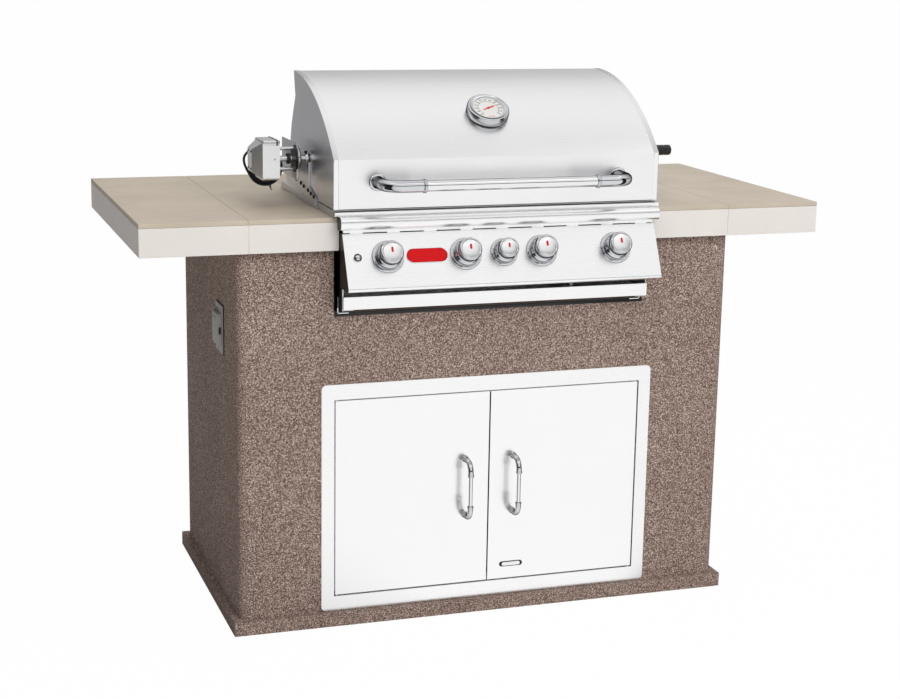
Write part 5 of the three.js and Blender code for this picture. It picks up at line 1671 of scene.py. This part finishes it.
@dataclass
class Hood(Assembly):
    """The hinged hood: skin, edge trims, handle and thermometer."""

    sheet_edge: float = 1.2 * MM
    side_from: float = 0.3
    half: float = 0.400
    face: float = FRONT - 0.037
    foot: float = 1.0103
    crease: float = 1.1223
    roll: tuple[float, float] = (FRONT + 0.350, 0.775)
    roll_radius: float = 0.520
    back: float = FRONT + 0.340
    trim_width: float = 12 * MM
    trim_lift: float = 0.8 * MM
    trim_sink: float = 0.3 * MM
    handle_height: float = 1.0703
    handle_sink: float = 0.3 * MM
    dial_lean: float = 0.545
    dial_face: float = 17.1 * MM
    needle_height: float = 18 * MM
    needle_tilt: float = math.radians(24)
    number_radius: float = 30.8 * MM
    number_size: float = 5.2 * MM
    number_lift: float = 0.1 * MM
    mark_depth: float = 0.15 * MM

    def outline(self) -> tuple[np.ndarray, np.ndarray]:
        """The hood's profile from its foot, over the crease, to the top of the roll.

        Returns:
            Points (y, z), and the outward direction at each.
        """
        steps = 6
        up = np.linspace(self.foot, self.crease, steps)
        front = np.stack([np.full(steps, self.face), up], axis=1)
        first = math.acos((self.face - self.roll[0]) / self.roll_radius)
        last = math.acos((self.back - self.roll[0]) / self.roll_radius)
        angle = np.linspace(first, last, 48)
        way = np.stack([np.cos(angle), np.sin(angle)], axis=1)
        arc = np.array(self.roll) + self.roll_radius * way
        out = np.concatenate([np.tile([-1.0, 0.0], (steps, 1)), way])
        return np.concatenate([front, arc]), out

    def trim(self, name: str, inner: float, outer: float) -> Piece:
        """A flat band that follows the profile between two places across the hood.

        Args:
            name: the object's name.
            inner: x of one edge.
            outer: x of the other edge.

        Returns:
            The band.
        """
        points, out = self.outline()
        low = points - self.trim_sink * out
        high = points + self.trim_lift * out
        shoulder = high - 0.3 * self.trim_lift * out
        ease = (outer - inner) * 0.05
        section = []
        for x, line in (
            (inner, low),
            (inner, shoulder),
            (inner + ease, high),
            (outer - ease, high),
            (outer, shoulder),
            (outer, low),
        ):
            section.append(np.column_stack([np.full(len(line), x), line]))
        rows = np.stack(section, axis=1)
        first = np.broadcast_to(rows[:1].mean(axis=1, keepdims=True), rows[:1].shape)
        last = np.broadcast_to(rows[-1:].mean(axis=1, keepdims=True), rows[-1:].shape)
        return grid_surface(name, np.concatenate([first, rows, last]), 20)

    def handle(self) -> None:
        """The bar handle across the hood's face."""
        made = BarHandle(
            middle=(0, self.face - self.handle_sink, self.handle_height),
            along=RIGHT,
            span=594 * MM,
            reach=80 * MM,
            bend=42 * MM,
            elbow_radius=14 * MM,
            bar_radius=12.5 * MM,
            bar_length=414.6 * MM,
            collar_radius=16 * MM,
            collar_length=6 * MM,
            base_radius=20 * MM,
            base_depth=3.2 * MM,
        )
        for side, sign in SIDES:
            elbow = made.elbow("handle_elbow_" + side, sign)
            self.fasten(elbow, CHROME, "hood", ("hood_elbow_" + side,))
        self.fasten(made.bar("handle_bar"), CHROME_BAR, "hood", ("hood_bar",))

    def dial_frame(self) -> tuple[np.ndarray, np.ndarray, np.ndarray]:
        """Work out how the thermometer stands on the roll.

        Returns:
            Its foot, its outward axis and the upward direction in its face.
        """
        out = np.array([0, -self.dial_lean, math.sqrt(1 - self.dial_lean**2)])
        foot = np.array([0, *self.roll]) + self.roll_radius * out
        return foot, out, np.cross(out, RIGHT)

    def numerals(self) -> Piece:
        """Plain numbers round the dial, from 100 at the lower left to 700 at the lower right.

        Returns:
            One object that holds all the numbers.
        """
        foot, out, up = self.dial_frame()
        turn = Matrix((RIGHT, tuple(up), tuple(out))).transposed().to_4x4()
        made = []
        for i, angle in enumerate(np.radians(np.linspace(225, -45, 13))):
            curve = bpy.data.curves.new("number", "FONT")
            curve.body = str(100 + 50 * i)
            curve.size = self.number_size
            curve.extrude = self.number_lift
            curve.align_x = "CENTER"
            curve.align_y = "CENTER"
            text = linked("number", curve)
            bpy.context.view_layer.update()
            mesh = bpy.data.meshes.new_from_object(text)
            bpy.data.objects.remove(text)
            way = math.cos(angle) * np.array(RIGHT) + math.sin(angle) * up
            place = foot + (self.dial_face + self.number_lift) * out + self.number_radius * way
            mesh.transform(Matrix.Translation(place) @ turn)
            made.append(linked("number", mesh))
        return joined("dial_numbers", made)

    def marks(
        self,
        count: int,
        inner: float,
        outer: float,
        width: float,
        ends: tuple[float, float] = (225, -45),
    ) -> Piece:
        """Radial marks on the dial, in even steps from one angle to another.

        Args:
            count: how many.
            inner: radius of their inner ends, in millimetres.
            outer: radius of their outer ends, in millimetres.
            width: of each mark, in millimetres.
            ends: the first and the last angle in degrees, against the clock from the right.

        Returns:
            One object that holds all the marks.
        """
        foot, out, up = self.dial_frame()
        angle = np.radians(np.linspace(*ends, count))[:, None]
        ray = np.cos(angle) * RIGHT + np.sin(angle) * up
        places = foot + self.dial_face * out + ray * (inner + outer) * MM / 2
        bar = rounded(width * MM, (outer - inner) * MM, width * MM * 0.3, 2)
        return stamped(
            f"dial_marks_{count}", bar, self.mark_depth, places, np.cross(ray, out), ray
        )

    def thermometer(self) -> None:
        """The dial in its deep chrome ring, with its print, its red low marks and its needle."""
        foot, out, up = self.dial_frame()
        ring = [(0, -45), (5, -45), (5, 0.3), (44, 0.3), (50.2, 1.6), (51, 3), (51, 13)]
        ring += [(50.6, 16.5), (49.6, 19), (48, 20.5), (46.6, 21), (45.6, 20.8), (44.8, 20)]
        ring += [(38.4, 18.4), (37, 18.2), (36.4, 17), (0, 17)]
        self.turned("thermometer_ring", ring, foot, out, CHROME, "hood", ("thermometer",), 96)
        face = [(0, 16.5), (36.6, 16.5), (36.6, 17.3), (35.8, 17.1), (0, 17.1)]
        self.turned("dial_face", face, foot, out, DIAL_WHITE, "hood", steps=96)
        self.fasten(self.marks(61, 24.2, 26, 0.6), DIAL_BLACK, "hood")
        self.fasten(self.marks(13, 23, 26.6, 1), DIAL_BLACK, "hood")
        self.fasten(self.numerals(), DIAL_BLACK, "hood")
        ray = math.cos(self.needle_tilt) * np.array(RIGHT) + math.sin(self.needle_tilt) * up
        right_side = [(0.9, -15), (1.2, 0), (1.8, 8), (1.4, 16)]
        left_side = [(-x, y) for x, y in right_side[::-1]]
        needle = np.array([(-0.9, -15), *right_side, (0, 20.5), *left_side[:-1]])
        hub = (foot + self.needle_height * out)[None]
        pointer = stamped("dial_needle", needle * MM, 0.5 * MM, hub, np.cross(ray, out), ray)
        self.fasten(pointer, RED_ENAMEL, "hood")
        self.fasten(self.marks(4, 29, 32, 2.2, (-78, -102)), RED_ENAMEL, "hood")
        cap = [(0, 17), (2.6, 17), (2.6, 18.9), (2, 19.4), (0, 19.4)]
        self.turned("dial_hub", cap, foot, out, RED_ENAMEL, "hood", steps=32)

    def build(self) -> None:
        """Dress the hood and add its trims, handle and thermometer."""
        shell = self.refine("hood", STEEL_HOOD, self.sheet_edge, "hood", 3)
        # The hood's sideways faces get the darker side sheet: painted shade.
        self.shade_sideways_faces(shell, STEEL_SIDE_SHADED, self.side_from, below=math.inf)
        for side, sign in SIDES:
            outer = sign * self.half
            band = self.trim("hood_trim_" + side, outer - sign * self.trim_width, outer)
            self.fasten(band, STEEL_BRIGHT, "hood")
        self.handle()
        self.thermometer()


@dataclass
class ControlPanel(Assembly):
    """The sloping panel with its knobs, bezels, button and bare badge, and the rail above it.

    knobs gives each knob's place across and its size as a share of a large one.
    """

    foot: tuple[float, float] = (FRONT - 0.114, 0.842)
    top: tuple[float, float] = (FRONT - 0.057, 0.957)
    height_share: float = 0.557
    cheek_from: float = 0.38
    knobs: dict = field(
        default_factory=lambda: {
            "far_left": (-284.5 * MM, 1.0),
            "left": (-97.5 * MM, 1.0),
            "middle": (-4 * MM, 0.87),
            "right": (89.5 * MM, 1.0),
            "far_right": (276.5 * MM, 1.0),
        }
    )
    knob_radius: float = 27 * MM
    knob_depth: float = 38 * MM
    knob_lift: float = 4 * MM
    stem_foot: float = -52.7 * MM
    stem_radius: float = 4 * MM
    pointer_size: tuple[float, float] = (13 * MM, 5.2 * MM)
    pointer_rise: float = 5 * MM
    button_place: float = -356 * MM
    badge_place: float = -191.4 * MM
    badge_size: tuple[float, float] = (99 * MM, 34.5 * MM)
    badge_rim: float = 1.3 * MM
    vent_pitch: float = 88 * MM
    bridge_size: tuple[float, float] = (30 * MM, 11.5 * MM)
    bridge_height: float = 0.9616
    lip_size: tuple[float, float] = (764 * MM, 7.4 * MM)
    lip_height: float = 0.9631
    strip_thickness: float = 2 * MM

    def out(self) -> np.ndarray:
        """Outward direction of the panel's face."""
        deep, tall = np.subtract(self.top, self.foot)
        return np.array([0, -tall, deep]) / math.hypot(deep, tall)

    def along(self) -> np.ndarray:
        """Upward direction in the panel's face."""
        return np.cross(self.out(), RIGHT)

    def at(self, x: float, out: float = 0.0) -> np.ndarray:
        """A point in the row of knobs, at x across and out from the panel's face."""
        y, z = np.array(self.foot) + self.height_share * np.subtract(self.top, self.foot)
        return np.array([x, y, z]) + out * self.out()

    def bezel(self, name: str, x: float, share: float) -> None:
        """A chrome dish round a knob: a raised rim, a slope inwards and a dark gap.

        Args:
            name: which knob.
            x: its place across.
            share: its size as a share of a large one.
        """
        rim = [(37.9, -0.5), (38, 1.6), (37.5, 3.2), (36.9, 3.8), (34.3, 3.95), (33.7, 3.4)]
        ridge = [(33.3, 1.5), (31.5, 1.95), (31.1, 3), (30.7, 3.4), (28.9, 3.5), (28.4, 2.8)]
        shape = [(7, -0.5), *rim, *ridge, (28.1, 0.9), (7, 0.7), (7, -0.5)]
        profile = [(radius * share, height) for radius, height in shape]
        self.turned("bezel_" + name, profile, self.at(x), self.out(), CHROME, steps=96)

    def knob(self, name: str, x: float, share: float) -> None:
        """A knob: chrome skirt and waist on its stem, a brushed face and a red pointer.

        The side's radius is r * (1 + a swell near the foot - a waist near the middle), where
        both are bell curves of the height, and its last stretch is rounded off as an ellipse.

        Args:
            name: which knob.
            x: its place across.
            share: its radius as a share of a large one.
        """
        body = name + "_knob"
        t = np.linspace(0, 1, 40)
        swell = 0.10 * np.exp(-(((t - 0.12) / 0.09) ** 2))
        waist = 0.09 * np.exp(-(((t - 0.42) / 0.17) ** 2))
        side = self.knob_radius * share * (1 + swell - waist)
        side = side * np.where(t > 0.93, np.sqrt(np.clip(1 - ((t - 0.93) / 0.16) ** 2, 0, 1)), 1)
        skirt = np.stack([side, self.knob_lift + self.knob_depth * t], axis=1)
        stem = [(0, self.stem_foot)]
        stem += [(self.stem_radius, height) for height in (self.stem_foot, self.knob_lift)]
        rim = float(side[-1])
        face = self.knob_lift + self.knob_depth
        dish = [(rim * 0.93, face), (rim * 0.9, face - 0.5 * MM), (0, face - 0.5 * MM)]
        foot, out = self.at(x), self.out()
        profile = stem + skirt.tolist() + dish
        piece = revolved("knob_body_" + name, profile, foot, out, 96, 50)
        self.fasten(piece, CHROME, body, ("knob_" + name,))
        cap = [
            (0, face - 0.8 * MM),
            (rim * 0.885, face - 0.8 * MM),
            (rim * 0.885, face - 0.3 * MM),
            (rim * 0.86, face),
            (0, face + 0.4 * MM),
        ]
        self.fasten(revolved("knob_face_" + name, cap, foot, out, 72), CHROME_SATIN, body)
        outline = stadium(*(size * share for size in self.pointer_size), 8)[::-1, ::-1]
        place = self.at(x, face + 0.1 * MM) + self.pointer_rise * share * self.along()
        layers = [(0, 0), (0, 0.5), (0.4, 0.8)]
        name = "knob_pointer_" + name
        self.raised(name, outline, layers, place, RED_ENAMEL, body, up=self.along())

    def button(self) -> None:
        """The ignition button in its ring."""
        foot, out = self.at(self.button_place), self.out()
        ring = [(7.4, -0.4), (9.3, -0.4), (9.4, 3.2), (9, 3.8), (8.2, 3.8), (7.5, 3.2), (7.4, -0.4)]
        self.turned("button_ring", ring, foot, out, BLACK_NYLON, steps=48)
        head = [(0, -6), (6.9, -6), (6.9, 2.8), (6.5, 4.4), (5.6, 5.8), (4.2, 6.9), (2.2, 7.5)]
        head.append((0, 7.7))
        self.turned("button_head", head, foot, out, CHROME, "button", ("ignition_button",))

    def badge(self) -> None:
        """A bare red pill in a thin bright rim."""
        place, along = self.at(self.badge_place), self.along()
        rim = [(0, -0.2), (0, 1.2), (0.7, 1.8), (1.4, 1.2)]
        outline = stadium(*self.badge_size)
        self.raised("badge_rim", outline, rim, place, STEEL_BRIGHT, up=along)
        pill = [(0, 0.6), (0, 1.6), (0.6, 2.1), (3, 2.4)]
        outline = stadium(*(size - 2 * self.badge_rim for size in self.badge_size))
        self.raised("badge_field", outline, pill, place, RED_ENAMEL, up=along)

    def vents(self) -> None:
        """Light bridges across the dark slot between the panel and the rail."""
        places = np.arange(-4, 5) * self.vent_pitch
        behind = self.top[0] + 3 * MM
        row = np.stack([places, places * 0 + behind, places * 0 + self.bridge_height], axis=1)
        tab = rounded(*self.bridge_size, 1 * MM, 3)
        bridges = stamped("vent_bridges", tab, self.strip_thickness, row, RIGHT, UP)
        self.fasten(bridges, STEEL)
        place = np.array([[0, self.top[0] + 3.4 * MM, self.lip_height]])
        strip = rounded(*self.lip_size, 1 * MM, 3)
        lip = stamped("rail_underlip", strip, self.strip_thickness, place, RIGHT, UP)
        self.fasten(lip, STEEL)

    def build(self) -> None:
        """Dress the panel and rail, and add what they carry."""
        for node, edge, segments in (("control_panel", 0.6, 2), ("front_rail", 1.0, 3)):
            sheet = self.refine(node, STEEL, edge * MM, segments=segments)
            # The panel's and rail's cheeks are painted near black: painted shade.
            self.shade_sideways_faces(sheet, CHEEK_SHADE_BLACK, self.cheek_from)
        self.refine("gas_manifold", GAS_PIPE, edge=0.8 * MM)
        for name, (x, share) in self.knobs.items():
            self.bezel(name, x, share)
            self.knob(name, x, share)
        self.button()
        self.badge()
        self.vents()


@dataclass
class Firebox(Assembly):
    """The grill's body with what it holds: burners, grates, rack and grease tray."""

    cheek_from: float = 0.379
    cheek_top: float = COUNTER_TOP - 4 * MM
    port_radius: float = 1.4 * MM
    port_rows: int = 26
    port_inset: float = 9 * MM
    port_depth: float = 0.5 * MM
    port_sink: float = 0.2 * MM
    port_margins: tuple[float, float] = (60 * MM, 20 * MM)
    notch_foot: float = 0.765
    # Size of the black strip that is painted shadow under the tray.
    shadow_strip_size: tuple[float, float] = (776 * MM, 9 * MM)
    liner_half: float = 0.381
    liner_foot: float = 0.7626
    liner_edge: tuple[float, float, float] = (1.7 * MM, 40 * MM, 27 * MM)
    back_face: float = 0.0721
    back_row: float = 1.219
    back_half: float = 0.35
    back_sides: tuple[float, float, float] = (0.362, 1.018, 1.12)
    back_screw: float = 4 * MM

    def ports(self, node: str) -> None:
        """Two rows of gas ports along the shoulders of a burner, drawn as black discs: painted
        shade for the holes.

        Args:
            node: the burner's node.
        """
        low, high = (np.array(v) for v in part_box(node))
        before, behind = self.port_margins
        deep = np.linspace(low[1] + before, high[1] - behind, self.port_rows)
        side = np.repeat([low[0] + self.port_inset, high[0] - self.port_inset], self.port_rows)
        level = np.full(side.size, high[2] - self.port_sink)
        places = np.stack([side, np.tile(deep, 2), level], 1)
        angle = np.linspace(0, 2 * np.pi, 8, endpoint=False)
        hole = self.port_radius * np.stack([np.cos(angle), np.sin(angle)], 1)
        made = stamped("port_shade_" + node, hole, self.port_depth, places, RIGHT, BACK)
        # The ports are black discs, not holes: painted shade.
        self.fasten(made, BLACK_STEEL)

    def shadow_strip_and_liner(self) -> None:
        """The black strip under the notch, which is painted shadow under the tray, and the liner's
        bright edges at its corners.
        """
        # A black strip along the notch's foot: painted shadow under the tray.
        wide, tall = self.shadow_strip_size
        place = (0, FRONT, self.notch_foot - tall / 2)
        layers = [(0, -0.5), (0, 0.8), (0.5, 1.2)]
        self.raised("notch_shadow_strip", rounded(wide, tall, 1 * MM), layers, place, BLACK_NYLON)
        thick, leg, run = self.liner_edge
        bars = []
        for _, sign in SIDES:
            for width, height in ((thick, leg), (run, thick)):
                x = sign * (self.liner_half - width / 2)
                place = (x, FRONT - 1.1 * MM, self.liner_foot + height / 2)
                bar = rounded(width, height, 0.3 * MM, 2)
                bars.append(layered("edge", bar, [(0, 0), (0, 1 * MM)], place, RIGHT, UP))
        self.fasten(joined("liner_corners", bars), STEEL_BRIGHT)

    def build(self) -> None:
        """Dress the body and its contents."""
        # The body is the same steel in a greyer tone: painted shade.
        body = self.refine("grill_body", STEEL_DEEP_SHADED, edge=1.0 * MM)
        # The body's cheeks below the counter are painted near black: painted shade.
        self.shade_sideways_faces(body, CHEEK_SHADE_BLACK, self.cheek_from, self.cheek_top)
        self.refine("grease_tray", STEEL, 0.8 * MM, "tray")
        for number in range(1, 5):
            self.refine(f"burner_{number}", HOT_STEEL, edge=3 * MM, segments=3)
            self.ports(f"burner_{number}")
        self.refine("rear_burner", HOT_STEEL, edge=2 * MM)
        self.shadow_strip_and_liner()
        heads = [(x, self.back_row) for x in np.linspace(-self.back_half, self.back_half, 7)]
        out, *levels = self.back_sides
        heads += [(side * out, level) for side in (-1, 1) for level in levels]
        for number, (x, z) in enumerate(heads):
            place = (x, self.back_face, z)
            self.screw(f"back_screw_{number + 1}", place, BACK, self.back_screw, CHROME)
        for side, _ in SIDES:
            # The grates get the greyer steel: painted shade inside the hood.
            self.refine("cooking_grate_" + side, STEEL_DEEP_SHADED, edge=2.2 * MM, segments=3)
        self.refine("warming_rack", STEEL, edge=1.6 * MM, segments=3)


@dataclass
class Spit(Assembly):
    """The spit with its grip and forks, its brackets and its motor."""

    axis: tuple[float, float] = (FRONT + 0.190, 1.101)
    left: float = -0.474
    right: float = 0.484
    rod_radius: float = 4.5 * MM
    grip_start: float = 0.452
    grip_length: float = 86.0
    fork_place: float = 0.181
    fork_screw_lift: float = 9.4 * MM
    plate_out: float = -0.4036
    plate_face: float = -0.4326
    plate_screws: float = -0.4296
    disc_foot: float = -0.4264
    sleeve_gap: float = 14 * MM
    bolt_row: tuple[float, ...] = (-0.062, -0.034, -0.006, 0.036, 0.064)
    bolt_drop: float = 0.0835
    bolt_rise: float = 0.004
    bolt_radius: float = 5 * MM
    plate_bolts: dict = field(
        default_factory=lambda: {"upper": (2, 27.6), "lower": (2, -48), "rear": (80, -24)}
    )
    plate_bolt_radius: float = 5.5 * MM
    motor_face: float = -0.4799
    motor_end: float = -0.5209
    motor_width: float = 84 * MM
    lid_over: float = 1.4 * MM
    lid_foot: float = 35.6 * MM
    strip_size: tuple[float, float] = (3.6 * MM, 87 * MM)
    strip_back: float = 7 * MM
    front_screw: Point = (-0.492, -42.2 * MM, 4 * MM)
    cap_face: float = -0.5431
    cap_screws: tuple[float, float] = (15.3 * MM, 20 * MM)
    cap_screw_radius: float = 2.4 * MM

    def at(self, x: float, y: float = 0.0, z: float = 0.0) -> Point:
        """A point at x along the spit, y behind and z above its axis."""
        return (x, self.axis[0] + y, self.axis[1] + z)

    def grip(self) -> None:
        """The grip: a swelling handle with seven grooves, and its ferrule."""
        t = np.linspace(0, 1, 60)
        swell = 9 + 4 * np.clip(t / 0.2, 0, 1) ** 0.7
        grooves = 0.7 * (np.abs((t * 7) % 1 - 0.5) < 0.09) * (t > 0.25) * (t < 0.9)
        side = (swell - grooves) * np.where(t > 0.94, np.sqrt(1 - ((t - 0.94) / 0.075) ** 2), 1)
        end = self.grip_length
        bore = [(0, end), (0, 32), (4.9, 32), (4.9, 0)]
        shape = [(4.9, 0), *np.stack([side, end * t], 1).tolist(), *bore]
        foot = self.at(self.grip_start)
        stands_for = ("spit_grip",)
        self.turned("spit_handle", shape, foot, RIGHT, BLACK_NYLON, "spit", stands_for, 48, 50)
        ferrule = [(4.8, -9), (8, -9), (8.6, -8), (8.6, -0.6), (4.8, -0.6), (4.8, -9)]
        self.turned("grip_ferrule", ferrule, foot, RIGHT, CHROME, "spit")

    def turning(self) -> None:
        """The rod, its set collar with a thumbscrew, the grip, and the forks."""
        long = self.right - self.left
        along_shares = np.array([0, 0.4, 1.4, 3, 20, 300, 600, 900, 955, 958]) / 958
        line = np.array(self.at(0)) + np.outer(self.left + along_shares * long, RIGHT)
        radius = self.rod_radius * np.array([0.4, 0.75, 0.95, 1, 1, 1, 1, 1, 1, 1])
        rod = swept("spit_round_rod", line, radius, UP, 32)
        self.fasten(rod, STEEL_BRIGHT, "spit", ("spit_rod",))
        collar = [(4.8, 0.3), (9, 0.3), (10, 1), (10, 7.4), (9.2, 8.3), (4.8, 8.3), (4.8, 0.3)]
        foot, stands_for = self.at(self.plate_out), ("spit_collar",)
        self.turned("spit_set_collar", collar, foot, LEFT, STEEL_BRIGHT, "spit", stands_for)
        grub = [(0, 0), (2, 0), (2, 2.4), (3.4, 3), (3.8, 4), (3.8, 7.4), (3, 8.4), (0, 8.6)]
        foot = self.at(self.plate_out - 4.3 * MM, z=9 * MM)
        self.turned("collar_thumbscrew", grub, foot, UP, BLACK_STEEL, "spit", steps=20)
        self.grip()
        thumb = [(0, 0), (2, 0), (2, 5), (5, 6), (5.6, 8), (5, 12), (3, 13.4), (0, 13.8)]
        for side, sign in SIDES:
            self.refine("spit_fork_" + side, STEEL_BRIGHT, 1.8 * MM, "spit", 3)
            foot = self.at(sign * self.fork_place, z=self.fork_screw_lift)
            name = "fork_thumbscrew_" + side
            self.turned(name, thumb, foot, UP, BLACK_STEEL, "spit", steps=20)

    def brackets(self) -> None:
        """The two plates with their bolts, and the drive's black disc, pad and sleeve."""
        # The brackets get the greyer steel: painted shade.
        for node in ("spit_bracket", "motor_bracket"):
            self.refine(node, STEEL_DEEP_SHADED, edge=0.8 * MM)
        for number, y in enumerate(self.bolt_row):
            place = self.at(self.plate_out, y, self.bolt_rise * number - self.bolt_drop)
            self.screw(f"bracket_bolt_{number + 1}", place, LEFT, self.bolt_radius, BLACK_STEEL)
        for name, (y, z) in self.plate_bolts.items():
            place = self.at(self.plate_screws, y * MM, z * MM)
            self.screw("plate_bolt_" + name, place, RIGHT, self.plate_bolt_radius, BLACK_STEEL)
        disc = [(7.6, 0), (24, 0), (24.6, 0.8), (24.2, 2), (21, 2.2), (20, 1.4), (7.6, 1.4)]
        disc.append(disc[0])
        self.turned("drive_disc", disc, self.at(self.disc_foot), RIGHT, BLACK_NYLON, steps=64)
        pad = [(7.6, 0), (31, 0), (32, 1), (32, 4.6), (31, 5.6), (7.6, 5.6), (7.6, 0)]
        self.turned("motor_pad", pad, self.at(self.plate_face), LEFT, BLACK_NYLON, steps=8)
        sleeve = [(7.2, 0), (12, 0), (13, 1), (13, 7), (12, 8), (7.2, 8), (7.2, 0)]
        foot = self.at(self.plate_face - self.sleeve_gap)
        self.turned("drive_sleeve", sleeve, foot, LEFT, BLACK_NYLON)

    def standoffs(self) -> None:
        """Two solid standoffs between the plate and the motor, and the hollow drive shaft."""
        run = (self.plate_face - self.motor_face) / MM
        for name, z, r in (("upper", 24, 4.4), ("lower", -24, 4.4), ("drive", 0, 7.0)):
            start, end = [(0, -0.5)], [(0, run - 0.4)]
            if name == "drive":
                start, end = [(5.2, -0.5)], [(5.2, run - 0.4), (5.2, -0.5)]
            foot_end = [(r + 1.4, -0.5), (r + 1.4, 2), (r, 2.6)]
            far_end = [(r, run - 3), (r + 1.2, run - 2.4), (r + 1.2, run - 0.4)]
            profile = [*start, *foot_end, *far_end, (r * 0.74, run - 0.4), *end]
            foot = self.at(self.motor_face, z=z * MM)
            self.turned("motor_standoff_" + name, profile, foot, RIGHT, CHROME, steps=36)

    def motor(self) -> None:
        """The motor's shell with its lid, seam strip, standoffs and screws."""
        self.refine("spit_motor", MOTOR_SHELL, edge=1.8 * MM, segments=3)
        middle = (self.motor_face + self.motor_end) / 2
        length = self.motor_face - self.motor_end
        outline = rounded(length + self.lid_over, self.motor_width + self.lid_over, 5 * MM)
        lid = [(0.5, 0), (0, 0.5), (0, 9), (1.2, 11.2), (4, 11.8)]
        place = self.at(middle, z=self.lid_foot)
        self.raised("motor_lid", outline, lid, place, MOTOR_SHELL, up=BACK)
        place = self.at(self.motor_face - self.strip_back, z=self.lid_foot)
        outline = rounded(*self.strip_size, 1 * MM, 3)
        strip = [(0, 0), (0, 12.2), (0.4, 12.6)]
        self.raised("motor_seam_strip", outline, strip, place, BLACK_NYLON, up=BACK)
        self.standoffs()
        radius = self.cap_screw_radius
        self.screw("motor_screw_front", self.at(*self.front_screw), AHEAD, radius, CHROME)
        for name, y, z in (("a", -1, 1), ("b", 1, 1), ("c", -1, -1), ("d", 1, -1)):
            place = self.at(self.cap_face, y * self.cap_screws[0], z * self.cap_screws[1])
            self.screw("motor_cap_screw_" + name, place, LEFT, radius, BLACK_STEEL)

    def build(self) -> None:
        """Make the turning parts, the brackets and the motor."""
        self.turning()
        self.brackets()
        self.motor()


def main() -> None:
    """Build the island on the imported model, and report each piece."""
    logging.basicConfig(level=logging.INFO, format="%(name)s %(message)s", force=True)
    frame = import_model()
    nodes = frame["nodes"]
    view = bpy.context.scene.view_settings
    view.view_transform = "Standard"
    Viewpoint().create()
    MotorCord(nodes).build()
    for part in (Base, Counter, AccessDoors, Outlet, Hood, ControlPanel, Firebox, Spit):
        log.info("building %s", part.__name__)
        part(nodes).build()
    Studio().build()


if __name__ == "__main__":
    main()
